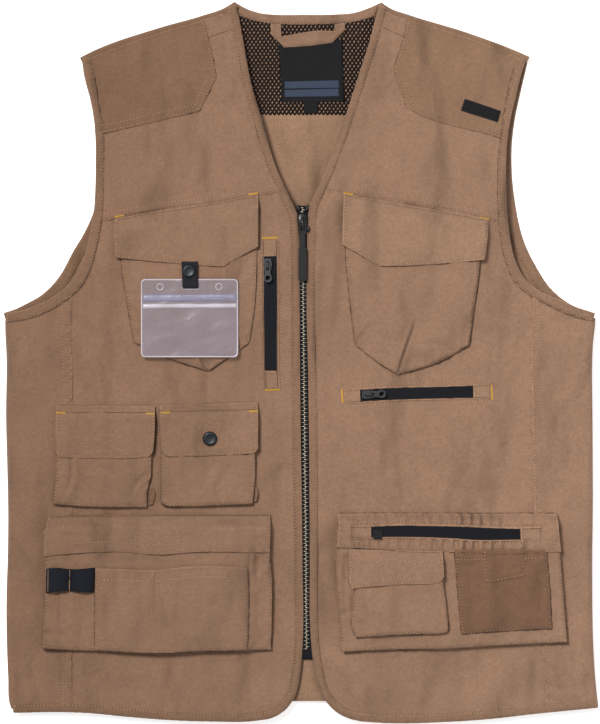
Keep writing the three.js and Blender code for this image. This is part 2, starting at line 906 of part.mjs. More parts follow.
function buildBack() {
  const whole = prism(backOutline(), 0, shellWall);
  let panel = whole;
  for (const [name, side] of Object.entries(sides)) {
    const line = smooth(side.back, 24);
    panel = panel.subtract(cutter(strip(line, side.sign * 3, -side.sign * (armholeBandWidth + fit))));
    const band = prism(strip(line, 0, -side.sign * armholeBandWidth), 0, bandWall);
    addCloth(`armhole_band_back_${name}`, band.intersect(cutter(bandLimit(side))), colours.band);
  }
  addCloth('back_panel', panel, colours.shell);
}

// How far the neck band stops short of the shoulder folds
function neckEndInset() {
  return shoulderFoldWidth * 0.4 + fit;
}

// Net lining at the back of the neck, cut through in staggered diamond gaps
function liningArea() {
  const inset = neckEndInset();
  const neck = besideLine(smooth(neckEdge, 10), -neckBandWidth - fit).filter((p) => {
    return p.x > spot(vEdgeRight[0]).x + inset && p.x < spot(vEdgeLeft[0]).x - inset;
  });
  const low = liningLow.map(spot);
  return [...neck, low[1], low[0]];
}

function diamond(x, y, width, height) {
  return [
    new THREE.Vector2(x - width / 2, y),
    new THREE.Vector2(x, y - height / 2),
    new THREE.Vector2(x + width / 2, y),
    new THREE.Vector2(x, y + height / 2),
  ];
}

function buildNeck() {
  const low = backTop + fit;
  const liningTop = low + liningWall;
  const outline = liningArea();
  let net = prism(outline, low, liningTop);
  const lowEdge = spot(liningLow[0]).y + netPitch * 0.7;
  const highEdge = spot(neckEdge[2]).y - neckBandWidth - netPitch * 0.7;
  const rows = Math.floor((highEdge - lowEdge) / (netPitch * 0.75));
  const reach = spot(vEdgeLeft[2]).x;
  for (let j = 0; j <= rows; j += 1) {
    const y = highEdge - j * netPitch * 0.75;
    const spread = reach * (1 - (0.3 * j) / rows);
    const count = Math.floor(spread / netPitch);
    for (let i = -count; i <= count; i += 1) {
      const x = zipOffset + (i + (j % 2) / 2) * netPitch;
      net = net.subtract(cutter(diamond(x, y, netGapWidth, netGapHeight)));
    }
  }
  addCloth('mesh_lining', net, colours.net);
  const inset = neckEndInset();
  const reachBox = box2(spot(vEdgeRight[0]).x + inset, 0, spot(vEdgeLeft[0]).x - inset, farAway);
  const band = prism(strip(smooth(neckEdge, 10), 0, -neckBandWidth), low, low + bandWall);
  addCloth('neck_band', band.intersect(cutter(reachBox)), colours.shell);

  const labelLeft = spot({ out: -0.067, down: 0 }).x;
  const labelTop = spot({ out: 0, down: 0.056 }).y;
  const tilt = THREE.MathUtils.degToRad(neckLabelTilt);
  const label = box2(0, -neckLabelHeight, neckLabelWidth, 0).map((p) => {
    return p.clone().rotateAround(new THREE.Vector2(0, 0), tilt).add({ x: labelLeft, y: labelTop });
  });
  const labelLow = liningTop + fit;
  add('neck_label', prism(label, labelLow, labelLow + labelWall), colours.black, 0.6, 0);
  const sizeLeft = spot({ out: 0.014, down: 0 }).x;
  const labelFoot = neckLabelHeight * Math.cos(tilt) - (sizeLeft - labelLeft) * Math.sin(tilt);
  const sizeTop = labelTop - labelFoot - fit;
  const sizeLabel = box2(sizeLeft, sizeTop - sizeLabelHeight, sizeLeft + sizeLabelWidth, sizeTop);
  add('size_label', prism(sizeLabel, labelLow, labelLow + labelWall), colours.black, 0.6, 0);

  const loopLow = labelLow + labelWall + fit;
  const left = spot({ out: -0.096, down: 0 }).x;
  const top = spot(neckEdge[2]).y - neckBandWidth - fit;
  const loop = [
    { across: 0, down: 0 },
    { across: 0.13, down: 0 },
    { across: 0.13, down: 0.56 },
    { across: 0.72, down: 0.31 },
    { across: 0.865, down: 0.34 },
    { across: 0.865, down: 0 },
    { across: 1, down: 0 },
    { across: 1, down: 0.3 },
    { across: 0.84, down: 0.81 },
    { across: 0.17, down: 1 },
    { across: 0, down: 0.52 },
  ];
  const shape = boxed(loop, left, top, loopWidth, loopDrop);
  addCloth('hang_loop', prism(shape, loopLow, loopLow + webbingWall), colours.shell);
}

// A patch pocket: front wall and gusset on three sides, open at its mouth and against the cloth behind
function pouch(outline, mouthY, depth, base, lean, dividers = []) {
  const raised = outline.map((p) => p.clone());
  const lift = depth * 3;
  const ceiling = Math.max(...raised.map((p) => p.y));
  for (const p of raised) {
    if (p.y > ceiling - 14) {
      p.y += lift;
    }
  }
  const shellSolid = leaning(raised, base, base + depth, lean);
  let hollow = leaning(grown(raised, -pocketWall), base - pocketWall, base + depth - pocketWall, lean);
  for (const divider of dividers) {
    const half = pocketWall * 0.75;
    const seam = box2(divider - half, -farAway, divider + half, farAway);
    hollow = hollow.subtract(cutter(seam));
  }
  const limit = box2(-farAway, -farAway, farAway, mouthY);
  return shellSolid.subtract(hollow).intersect(cutter(limit));
}

// A block whose walls lean inwards as they rise, with a soft upper edge
function leaning(outline, low, high, lean) {
  const rings = [
    { inset: 0, level: low },
    { inset: lean * 0.35, level: low + (high - low) * 0.7 },
    { inset: lean, level: high },
  ];
  const loops = rings.map((ring) => grown(outline, -ring.inset).map((p) => [p.x, p.y, ring.level]));
  const count = loops[0].length;
  const points = loops.flat(2);
  const faces = [];
  for (let s = 0; s + 1 < loops.length; s += 1) {
    for (let i = 0; i < count; i += 1) {
      const a = s * count + i;
      const b = s * count + ((i + 1) % count);
      faces.push(a, b, b + count, a, b + count, a + count);
    }
  }
  const lid = (loop, offset, down) => {
    const flat = loop.map((p) => new THREE.Vector2(p[0], p[1]));
    for (const [a, b, c] of THREE.ShapeUtils.triangulateShape(flat, [])) {
      faces.push(offset + a, offset + (down ? c : b), offset + (down ? b : c));
    }
  };
  lid(loops[0], 0, true);
  lid(loops[loops.length - 1], count * (loops.length - 1), false);
  const geometry = new THREE.BufferGeometry();
  geometry.setAttribute('position', new THREE.Float32BufferAttribute(points, 3));
  geometry.setIndex(faces);
  return solid(geometry);
}

// Flap: sewn down at its upper line, it climbs over the pocket's mouth and lies on the pocket
function flap(outline, rest, climb, base) {
  const left = Math.min(...outline.map((p) => p.x)) - 2;
  const right = Math.max(...outline.map((p) => p.x)) + 2;
  const top = Math.max(...outline.map((p) => p.y));
  const bottom = Math.min(...outline.map((p) => p.y));
  const corners = outline.filter((p) => p.y > top - (top - bottom) * 0.4);
  const upperLeft = corners.reduce((a, b) => (a.x < b.x ? a : b));
  const upperRight = corners.reduce((a, b) => (a.x > b.x ? a : b));
  const slope = (upperRight.y - upperLeft.y) / (upperRight.x - upperLeft.x);
  const lineAt = (x) => upperLeft.y + slope * (x - upperLeft.x);
  const stops = [
    { run: -12, rise: 0 },
    { run: climb * 0.25, rise: 0.05 },
    { run: climb * 0.5, rise: 0.4 },
    { run: climb * 0.8, rise: 0.85 },
    { run: climb * 1.1, rise: 1 },
    { run: top - bottom + 30, rise: 1 },
  ];
  const place = (i, j) => {
    const x = i === 0 ? left : right;
    const stop = stops[stops.length - 1 - j];
    return [x, lineAt(x) - stop.run, base + (rest - base) * stop.rise];
  };
  const body = gridSolid(1, stops.length - 1, (i, j) => {
    const [x, y, z] = place(i, j);
    return [x, y, z + flapWall];
  }, place);
  return body.intersect(cutter(outline));
}

// Where a pocket's box starts, on either side of the zip
function leftOf(side, fromZip, width) {
  return side.sign < 0 ? zipOffset - fromZip - width : zipOffset + fromZip;
}

const chestPocketRightRows = [
  { across: 0, down: 0 },
  { across: 0, down: 0.29 },
  { across: 0.04, down: 0.545 },
  { across: 0.095, down: 0.815 },
  { across: 0.335, down: 0.92 },
  { across: 0.64, down: 1 },
  { across: 0.945, down: 0.815 },
  { across: 0.98, down: 0.59 },
  { across: 1, down: 0 },
];
const chestFlapRightRows = [
  { across: 0, down: 0.34 },
  { across: 0.34, down: 0.22 },
  { across: 0.715, down: 0.105 },
  { across: 1, down: 0 },
  { across: 1, down: 0.72 },
  { across: 0.76, down: 1 },
  { across: 0.465, down: 0.96 },
  { across: 0.01, down: 0.88 },
];
const chestPocketLeftRows = [
  { across: 0, down: 0 },
  { across: 0.005, down: 0.225 },
  { across: 0.075, down: 0.81 },
  { across: 0.385, down: 1 },
  { across: 0.68, down: 0.925 },
  { across: 0.915, down: 0.815 },
  { across: 0.99, down: 0.295 },
  { across: 1, down: 0 },
];
const chestFlapLeftRows = [
  { across: 0.015, down: 0 },
  { across: 0.365, down: 0.135 },
  { across: 0.72, down: 0.255 },
  { across: 1, down: 0.355 },
  { across: 0.97, down: 0.91 },
  { across: 0.495, down: 0.99 },
  { across: 0.255, down: 1 },
  { across: 0, down: 0.705 },
];
const outerPocketRows = [
  { across: 0.045, down: 0 },
  { across: 0.035, down: 0.46 },
  { across: 0, down: 0.975 },
  { across: 0.38, down: 0.995 },
  { across: 0.945, down: 1 },
  { across: 0.99, down: 0.65 },
  { across: 1, down: 0 },
];
const outerFlapRows = [
  { across: 0.005, down: 0 },
  { across: 1, down: 0.01 },
  { across: 0.985, down: 0.865 },
  { across: 0.945, down: 0.975 },
  { across: 0.505, down: 1 },
  { across: 0.04, down: 0.97 },
  { across: 0, down: 0.88 },
];
const innerPocketRows = [
  { across: 0, down: 0 },
  { across: 0.015, down: 0.46 },
  { across: 0.005, down: 0.965 },
  { across: 0.22, down: 1 },
  { across: 0.955, down: 0.98 },
  { across: 0.985, down: 0.795 },
  { across: 1, down: 0 },
];
const innerFlapRows = [
  { across: 0, down: 0.065 },
  { across: 0.995, down: 0 },
  { across: 1, down: 0.86 },
  { across: 0.96, down: 0.94 },
  { across: 0.49, down: 0.985 },
  { across: 0.1, down: 1 },
  { across: 0.025, down: 0.925 },
];
const cargoRightRows = [
  { across: 0.005, down: 0 },
  { across: 0.015, down: 0.305 },
  { across: 0, down: 0.96 },
  { across: 0.225, down: 0.98 },
  { across: 0.535, down: 1 },
  { across: 0.995, down: 0.965 },
  { across: 1, down: 0.37 },
  { across: 0.995, down: 0 },
];
const cargoFlapRows = [
  { across: 0.015, down: 0.035 },
  { across: 1, down: 0 },
  { across: 1, down: 0.89 },
  { across: 0.795, down: 0.88 },
  { across: 0.535, down: 0.94 },
  { across: 0.33, down: 0.88 },
  { across: 0.01, down: 1 },
  { across: 0, down: 0.49 },
];
const toolPocketRows = [
  { across: 0.005, down: 0.035 },
  { across: 0.38, down: 0.055 },
  { across: 0.74, down: 0 },
  { across: 0.99, down: 0.035 },
  { across: 1, down: 0.45 },
  { across: 0.99, down: 0.985 },
  { across: 0.355, down: 1 },
  { across: 0, down: 0.98 },
];
const cargoLeftRows = [
  { across: 0, down: 0 },
  { across: 0.01, down: 0.455 },
  { across: 0.03, down: 1 },
  { across: 0.275, down: 0.975 },
  { across: 0.71, down: 0.945 },
  { across: 1, down: 0.92 },
  { across: 0.98, down: 0.455 },
  { across: 0.965, down: 0 },
];
const cargoZipRows = [
  { across: 0.005, down: 0 },
  { across: 0.995, down: 0 },
  { across: 1, down: 0.95 },
  { across: 0.715, down: 1 },
  { across: 0.325, down: 0.94 },
  { across: 0.15, down: 0.875 },
  { across: 0, down: 0.85 },
];
const phonePocketRows = [
  { across: 0.015, down: 0 },
  { across: 0.025, down: 0.38 },
  { across: 0, down: 0.87 },
  { across: 0.035, down: 1 },
  { across: 0.385, down: 0.965 },
  { across: 0.965, down: 0.94 },
  { across: 1, down: 0.885 },
  { across: 0.945, down: 0.305 },
  { across: 0.93, down: 0 },
];
const phoneFlapRows = [
  { across: 0, down: 0 },
  { across: 0.985, down: 0 },
  { across: 1, down: 0.7 },
  { across: 0.94, down: 0.865 },
  { across: 0.535, down: 0.89 },
  { across: 0.045, down: 1 },
  { across: 0.015, down: 0.865 },
];
const notePocketRows = [
  { across: 0, down: 0 },
  { across: 0.025, down: 0.335 },
  { across: 0.07, down: 1 },
  { across: 0.565, down: 0.955 },
  { across: 1, down: 0.925 },
  { across: 0.975, down: 0.335 },
  { across: 0.95, down: 0 },
];
const tabRows = [
  { across: 0, down: 0 },
  { across: 0.97, down: 0 },
  { across: 1, down: 0.79 },
  { across: 0.04, down: 1 },
];

// Level of the inner end of the yoke seam, from which the chest pieces are placed
function chestLine(side) {
  return spot(side.yoke[side.yoke.length - 1]).y;
}

// A pocket body: spec holds its rows, place, size, depth and what it lies on
function buildPocket(name, side, spec) {
  const left = leftOf(side, spec.fromZip, spec.width);
  const top = spec.top ?? hemY + spec.fromHem + spec.height;
  const outline = boxed(spec.rows, left, top, spec.width, spec.height);
  const mouth = Math.max(...outline.map((p) => p.y)) - spec.height * spec.mouth;
  const dividers = (spec.dividers ?? []).map((share) => left + share * spec.width);
  const body = pouch(outline, mouth, spec.depth, spec.base, spec.lean ?? 4, dividers);
  addCloth(name, onFront(body), spec.colour);
}

function buildFlap(name, side, spec) {
  const left = leftOf(side, spec.fromZip, spec.width);
  const top = spec.top ?? hemY + spec.fromHem + spec.height;
  const outline = boxed(spec.rows, left, top, spec.width, spec.height);
  const body = flap(outline, spec.rest, spec.climb, spec.base);
  addCloth(name, onFront(body), spec.colour);
}

function buildChestPockets() {
  const common = {
    width: chestPocketWidth,
    height: chestPocketHeight,
    depth: chestPocketDepth,
    base: fit,
  };
  buildPocket('chest_pocket_right', sides.right, {
    ...common,
    rows: chestPocketRightRows,
    top: chestLine(sides.right) - chestPocketDrop,
    fromZip: chestPocketRightFromZip,
    mouth: 0.2,
    colour: colours.shell,
  });
  buildPocket('chest_pocket_left', sides.left, {
    ...common,
    rows: chestPocketLeftRows,
    top: chestLine(sides.left) - chestPocketDrop,
    fromZip: chestPocketLeftFromZip,
    mouth: 0.2,
    colour: colours.shellLight,
  });
  const flaps = {
    width: chestFlapWidth,
    height: chestFlapHeight,
    rest: chestPocketDepth + fit * 2,
    climb: chestFlapClimb,
    base: fit,
    colour: colours.flap,
  };
  buildFlap('chest_flap_right', sides.right, {
    ...flaps,
    rows: chestFlapRightRows,
    top: chestLine(sides.right) - chestFlapDrop,
    fromZip: chestFlapRightFromZip,
  });
  buildFlap('chest_flap_left', sides.left, {
    ...flaps,
    rows: chestFlapLeftRows,
    top: chestLine(sides.left) - chestFlapDrop,
    fromZip: chestFlapLeftFromZip,
  });
}

function buildSmallPockets() {
  const common = {
    width: smallPocketWidth,
    height: smallPocketHeight,
    fromHem: smallPocketFromHem,
    depth: smallPocketDepth,
    base: fit,
    mouth: 0.17,
  };
  buildPocket('outer_pocket', sides.right, {
    ...common,
    rows: outerPocketRows,
    fromZip: outerPocketFromZip,
    colour: colours.shell,
  });
  buildPocket('inner_pocket', sides.right, {
    ...common,
    rows: innerPocketRows,
    fromZip: innerPocketFromZip,
    colour: colours.shell,
  });
  const flaps = {
    width: smallFlapWidth,
    height: smallFlapHeight,
    rest: smallPocketDepth + fit * 2,
    climb: smallFlapClimb,
    base: fit,
    fromHem: smallFlapFromHem,
    colour: colours.patch,
  };
  buildFlap('outer_flap', sides.right, { ...flaps, rows: outerFlapRows, fromZip: outerPocketFromZip - 2.5 });
  buildFlap('inner_flap', sides.right, { ...flaps, rows: innerFlapRows, fromZip: innerPocketFromZip - 2.8 });
  const snapX = zipOffset - innerPocketFromZip - smallPocketWidth / 2 + 3;
  const snapY = hemY + smallFlapFromHem + smallFlapHeight * 0.35;
  const level = smallPocketDepth + fit * 3 + flapWall;
  add('inner_flap_snap', onFront(snapCap(snapX, snapY, level)), colours.metal, 0.35, 0.6);
}

// Domed press-stud cap standing on a level
function snapCap(x, y, level) {
  const radius = snapDiameter / 2;
  const profile = [
    new THREE.Vector2(0, 0),
    new THREE.Vector2(radius * 0.96, 0),
    new THREE.Vector2(radius, snapHeight * 0.35),
    new THREE.Vector2(radius * 0.8, snapHeight * 0.9),
    new THREE.Vector2(radius * 0.55, snapHeight),
    new THREE.Vector2(0, snapHeight * 0.8),
  ];
  const cap = new THREE.LatheGeometry(profile, 16);
  cap.rotateX(Math.PI / 2);
  cap.translate(x, y, level);
  return solid(cap);
}

function buildCargoRight() {
  buildPocket('cargo_pocket_right', sides.right, {
    rows: cargoRightRows,
    width: cargoPocketWidth,
    height: cargoPocketHeight,
    fromHem: cargoPocketFromHem,
    fromZip: cargoRightFromZip,
    depth: cargoPocketDepth,
    base: fit,
    mouth: 0.1,
    colour: colours.shell,
  });
  buildFlap('cargo_flap_right', sides.right, {
    rows: cargoFlapRows,
    width: cargoFlapWidth,
    height: cargoFlapHeight,
    fromHem: cargoFlapFromHem,
    fromZip: cargoRightFromZip + 1.5,
    rest: cargoPocketDepth + fit * 2,
    climb: cargoFlapClimb,
    base: fit,
    colour: colours.patch,
  });
  buildPocket('tool_pocket', sides.right, {
    rows: toolPocketRows,
    width: toolPocketWidth,
    height: toolPocketHeight,
    fromHem: toolPocketFromHem + 3,
    fromZip: toolPocketFromZip,
    depth: toolPocketDepth,
    base: cargoPocketDepth + fit * 2,
    mouth: 0.06,
    dividers: [0.37],
    lean: 3,
    colour: colours.patch,
  });
  add('elastic_loops', onFront(elasticLoops()), colours.black, 0.85, 0);
}

// Two humps of elastic, sewn down between them and at both ends
function elasticLoops() {
  const humps = 2;
  const steps = 8;
  const upper = [];
  const lower = [];
  for (let h = 0; h < humps; h += 1) {
    for (let s = h === 0 ? 0 : 1; s <= steps; s += 1) {
      const share = (h + s / steps) / humps;
      const rise = Math.sin((Math.PI * s) / steps) ** 0.6 * elasticRise;
      upper.push(new THREE.Vector2(share * elasticWidth, rise + elasticWall));
      lower.push(new THREE.Vector2(share * elasticWidth, rise));
    }
  }
  const shape = new THREE.Shape([...lower, ...upper.reverse()]);
  const geometry = new THREE.ExtrudeGeometry(shape, { depth: elasticHeight, bevelEnabled: false });
  geometry.rotateX(Math.PI / 2);
  const fromZip = cargoRightFromZip + cargoPocketWidth - elasticFromEdge - elasticWidth;
  const left = leftOf(sides.right, fromZip, elasticWidth);
  geometry.translate(left, hemY + elasticFromHem + elasticHeight, cargoPocketDepth + fit * 2);
  return solid(geometry);
}

function buildCargoLeft() {
  buildPocket('cargo_pocket_left', sides.left, {
    rows: cargoLeftRows,
    width: cargoPocketWidth,
    height: cargoPocketHeight,
    fromHem: cargoPocketFromHem,
    fromZip: cargoLeftFromZip,
    depth: cargoPocketDepth,
    base: fit,
    mouth: 0.1,
    colour: colours.shellLight,
  });
  const zipLeft = leftOf(sides.left, cargoZipFromZip, cargoZipWidth);
  const zipTop = hemY + cargoZipFromHem + cargoZipHeight;
  const outline = boxed(cargoZipRows, zipLeft, zipTop, cargoZipWidth, cargoZipHeight);
  const rest = cargoPocketDepth + fit * 2;
  const cover = flap(outline, rest, cargoZipClimb, fit);
  const windowBox = box2(
    zipLeft + cargoZipWidth * 0.065,
    zipTop - cargoZipHeight * 0.68,
    zipLeft + cargoZipWidth * 0.925,
    zipTop - cargoZipHeight * 0.68 + zipWindow + 2,
  );
  addCloth('cargo_zip_flap', onFront(cover.subtract(cutter(windowBox))), colours.flap);
  const inside = grown(windowBox, -fit);
  const tape = prism(inside, rest, rest + zipTapeWall);
  const chainY = (windowBox[0].y + windowBox[2].y) / 2;
  const half = smallChainWidth / 2;
  const chainLeft = inside[0].x + zipTabLength;
  const chainRight = inside[1].x - zipTabLength;
  const chainLine = box2(chainLeft, chainY - half, chainRight, chainY + half);
  const chain = prism(chainLine, rest, rest + zipTapeWall + smallChainHeight);
  const chainTop = rest + zipTapeWall + smallChainHeight;
  add('cargo_zip', onFront(tape.add(chain)), colours.black, 0.8, 0);
  const sliderX = chainLine[0].x + cargoSliderSize;
  const slider = prism(centredBox(sliderX, chainY, cargoSliderSize, cargoSliderSize), 0, cargoSliderHeight);
  add('cargo_zip_slider', onFront(slider.translate([0, 0, chainTop + fit])), colours.metal, 0.4, 0.7);

  buildPocket('phone_pocket', sides.left, {
    rows: phonePocketRows,
    width: phonePocketWidth,
    height: phonePocketHeight,
    fromHem: phonePocketFromHem,
    fromZip: phonePocketFromZip,
    depth: phonePocketDepth,
    base: rest,
    mouth: 0.18,
    lean: 3,
    colour: colours.patch,
  });
  buildFlap('phone_flap', sides.left, {
    rows: phoneFlapRows,
    width: phoneFlapWidth,
    height: phoneFlapHeight,
    fromHem: phoneFlapFromHem,
    fromZip: phoneFlapFromZip,
    rest: rest + phonePocketDepth + fit,
    climb: phoneFlapClimb,
    base: rest,
    colour: colours.patch,
  });
  buildPocket('note_pocket', sides.left, {
    rows: notePocketRows,
    width: notePocketWidth,
    height: notePocketHeight,
    fromHem: notePocketFromHem,
    fromZip: notePocketFromZip,
    depth: notePocketDepth,
    base: rest,
    mouth: 0.04,
    lean: 3,
    colour: colours.patch,
  });
  buildFlap('hanging_tab', sides.left, {
    rows: tabRows,
    width: tabWidth,
    height: tabHeight,
    fromHem: tabFromHem,
    fromZip: tabFromZip,
    rest: rest + notePocketDepth + fit,
    climb: tabClimb,
    base: rest,
    colour: colours.patch,
  });
}

// Zip in a raised frame, with the chain along +Y from 0 and the frame centred on X
function framedZip(name, length, width, placeIt) {
  const outer = box2(-width / 2, 0, width / 2, length);
  const inner = box2(-zipWindow / 2, zipFrameEnd, zipWindow / 2, length - zipFrameEnd);
  const frame = prism(outer, fit, fit + bandWall).subtract(cutter(inner));
  const tapeArea = grown(inner, -fit);
  const half = smallChainWidth / 2;
  const chainBox = box2(-half, zipTabLength, half, length - zipTabLength);
  const tape = prism(tapeArea, fit, fit + zipTapeWall);
  const chainTop = fit + zipTapeWall + smallChainHeight;
  const zip = tape.add(prism(chainBox, fit, chainTop));
  addCloth(`${name}_frame`, onFront(placeIt(frame)), colours.flap);
  add(name, onFront(placeIt(zip)), colours.black, 0.8, 0);
  return chainTop;
}

// Slider: a wedge body that rides on the chain, with an arch across its top for the pull.
// The chain runs along Y, the arch's pin hole is at the origin of the pull.
function sliderBody(width, length, height, archWidth, archHeight) {
  const half = width / 2;
  const plan = new THREE.Shape([
    new THREE.Vector2(-half * 0.7, -length / 2),
    new THREE.Vector2(half * 0.7, -length / 2),
    new THREE.Vector2(half, length * 0.15),
    new THREE.Vector2(half * 0.8, length / 2),
    new THREE.Vector2(-half * 0.8, length / 2),
    new THREE.Vector2(-half, length * 0.15),
  ]);
  const plate = new THREE.ExtrudeGeometry(plan, { depth: height, bevelEnabled: false });
  const reach = length * 0.3;
  const side = new THREE.Shape([
    new THREE.Vector2(-reach, 0),
    new THREE.Vector2(reach, 0),
    new THREE.Vector2(reach, archHeight * 0.6),
    new THREE.Vector2(reach * 0.6, archHeight),
    new THREE.Vector2(-reach * 0.6, archHeight),
    new THREE.Vector2(-reach, archHeight * 0.6),
  ]);
  const hole = box2(-reach * 0.55, -1, reach * 0.55, archHeight * 0.62);
  const archSolid = standing(side, archWidth).subtract(standing(new THREE.Shape(hole), archWidth * 3));
  return solid(plate).add(archSolid.translate([0, 0, height - 0.05]));
}

// Outline in the YZ plane, as wide as given along X
function standing(shape, width) {
  const geometry = new THREE.ExtrudeGeometry(shape, { depth: width, bevelEnabled: false });
  geometry.translate(0, 0, -width / 2);
  geometry.rotateY(Math.PI / 2);
  geometry.rotateX(Math.PI / 2);
  return solid(geometry);
}

// Pull: a cross bar through the arch, two arms beside it and a plate or a ring beyond
function pullBody(archWidth, bar, armReach, tailRows, hole) {
  const inside = archWidth / 2 + fit;
  const outside = inside + bar;
  const plan = [
    new THREE.Vector2(-outside, bar / 2),
    ...tailRows.map((row) => new THREE.Vector2(-row.half, -row.run)),
    ...[...tailRows].reverse().map((row) => new THREE.Vector2(row.half, -row.run)),
    new THREE.Vector2(outside, bar / 2),
  ];
  const plate = prism(plan, -bar / 2, bar / 2);
  const slot = prism(box2(-inside, -armReach, inside, -bar / 2), -bar, bar);
  const eye = hole ? discAt(0, -hole.run, hole.radius, -bar, bar) : null;
  const open = plate.subtract(slot);
  return eye ? open.subtract(eye) : open;
}

function discAt(x, y, radius, low, high) {
  const disc = new THREE.CylinderGeometry(radius, radius, high - low, 12);
  disc.rotateX(Math.PI / 2);
  disc.translate(x, y, (low + high) / 2);
  return solid(disc);
}

function buildMainZip() {
  const topShare = zipLine[0];
  const start = spot(topShare).y;
  const centre = zipCurve.map((p) => new THREE.Vector2(p.x, p.y));
  const tapeLow = -shellWall - fit - zipTapeWall;
  const tape = prism(strip(centre, -tapeWidth / 2, tapeWidth / 2), tapeLow, tapeLow + zipTapeWall);
  const half = mainChainWidth / 2;
  const chain = prism(strip(centre, -half, half), tapeLow, tapeLow + zipTapeWall + fit + mainChainHeight);
  const boxTop = tapeLow + zipTapeWall + fit + mainChainHeight + 0.3;
  const end = centre[centre.length - 1];
  const stopBox = prism(box2(end.x - half, end.y, end.x + half, end.y + mainStopLength), tapeLow, boxTop);
  const level = tapeLow + zipTapeWall + fit + mainChainHeight;
  add('main_zip', onFront(tape.add(chain).add(stopBox)), colours.teeth, 0.7, 0);
  const sliderY = start - mainSliderLength / 2 + mainSliderAbove;
  const sliderX = alongTable(zipCurve, sliderY);
  const low = level + fit;
  const width = mainSliderWidth;
  const length = mainSliderLength;
  const slider = sliderBody(width, length, mainSliderHeight, mainArchWidth, mainArchHeight);
  const sliderZ = Math.max(low, bandWall - shellWall + fit);
  add('main_zip_slider', onFrontLevel(slider, sliderX, sliderY, sliderZ), colours.metal, 0.4, 0.8);
  const archReach = mainSliderLength * 0.3;
  const armReach = archReach + pullBar;
  const rows = [
    { half: mainArchWidth / 2 + fit + pullBar, run: armReach },
    { half: mainStrapWidth / 2, run: armReach + 4 },
    { half: mainStrapWidth / 2, run: mainPullLength - mainTagLength },
  ];
  const strap = pullBody(mainArchWidth, pullBar, armReach, rows, null);
  const tagHalf = mainTagWidth / 2;
  const tagLow = -pullBar / 2;
  const tagRun = mainPullLength - mainTagLength;
  const tagOutline = [
    new THREE.Vector2(-tagHalf * 0.85, -tagRun + 1),
    new THREE.Vector2(-tagHalf, -tagRun - 2),
    new THREE.Vector2(-tagHalf, -mainPullLength + 1.5),
    new THREE.Vector2(-tagHalf * 0.7, -mainPullLength),
    new THREE.Vector2(tagHalf * 0.7, -mainPullLength),
    new THREE.Vector2(tagHalf, -mainPullLength + 1.5),
    new THREE.Vector2(tagHalf, -tagRun - 2),
    new THREE.Vector2(tagHalf * 0.85, -tagRun + 1),
  ];
  const pull = strap.add(prism(tagOutline, tagLow, tagLow + mainTagWall));
  const pivotZ = sliderZ + mainSliderHeight + fit + pullBar / 2;
  const pivot = onFrontPoint(sliderX, sliderY, pivotZ);
  add('main_zip_pull', pull.translate([pivot.x, pivot.y, pivot.z]), colours.black, 0.6, 0.1);
}

// Put a small rigid piece at a place over the front cloth without bending it
function onFrontLevel(body, x, y, level) {
  return body.translate([x, y, frontTop(x, y) + level]);
}

function onFrontPoint(x, y, level) {
  return new THREE.Vector3(x, y, frontTop(x, y) + level);
}

function smallSlider() {
  return sliderBody(smallSliderWidth, smallSliderLength, smallSliderHeight, smallArchWidth, smallArchHeight);
}

function smallPull() {
  const armReach = smallSliderLength * 0.3 + pullBar;
  const middle = smallPullLength - smallRingRadius;
  const rows = [
    { half: smallArchWidth / 2 + fit + pullBar, run: armReach },
    { half: smallRingRadius * 0.75, run: middle - smallRingRadius * 0.66 },
    { half: smallRingRadius, run: middle },
    { half: smallRingRadius * 0.7, run: middle + smallRingRadius * 0.7 },
    { half: smallRingRadius * 0.3, run: middle + smallRingRadius },
  ];
  return pullBody(smallArchWidth, pullBar, armReach, rows, { run: middle, radius: smallRingRadius * 0.55 });
}

// Slider and pull of a small zip: turn is the angle of the chain from +Y, with the pull hanging back
function smallSliderSet(name, x, y, turn, level) {
  const turned = (body) => body.rotate([0, 0, turn]);
  const sliderLevel = level + fit;
  add(`${name}_slider`, onFrontLevel(turned(smallSlider()), x, y, sliderLevel), colours.metal, 0.4, 0.7);
  const pivot = onFrontPoint(x, y, sliderLevel + smallSliderHeight + fit + pullBar / 2);
  const pull = turned(smallPull()).translate([pivot.x, pivot.y, pivot.z]);
  add(`${name}_pull`, pull, colours.metal, 0.4, 0.7);
}

function buildSmallZips() {
  const chestX = zipOffset - chestZipFromZip - chestZipWidth / 2;
  const chestY = chestLine(sides.right) - chestZipDrop - chestZipLength;
  const placeChest = (body) => body.rotate([0, 0, chestZipLean]).translate([chestX, chestY, 0]);
  const chainTop = framedZip('chest_zip', chestZipLength, chestZipWidth, placeChest);
  const run = chestZipLength - zipTabLength - smallSliderLength / 2 - 3;
  const turn = THREE.MathUtils.degToRad(chestZipLean);
  const chestSlider = { x: chestX - run * Math.sin(turn), y: chestY + run * Math.cos(turn) };
  smallSliderSet('chest_zip', chestSlider.x, chestSlider.y, chestZipLean, chainTop);

  const waistX = zipOffset + waistZipFromZip;
  const waistY = creaseY - waistZipBelowYoke;
  const placeWaist = (body) => body.rotate([0, 0, waistZipLean - 90]).translate([waistX, waistY, 0]);
  const waistTop = framedZip('waist_zip', waistZipLength, waistZipWidth, placeWaist);
  const waistRun = zipTabLength + smallSliderLength / 2 + 3;
  const angle = THREE.MathUtils.degToRad(waistZipLean);
  const sliderX = waistX + waistRun * Math.cos(angle);
  const sliderY = waistY + waistRun * Math.sin(angle);
  smallSliderSet('waist_zip', sliderX, sliderY, waistZipLean + 90, waistTop);
}

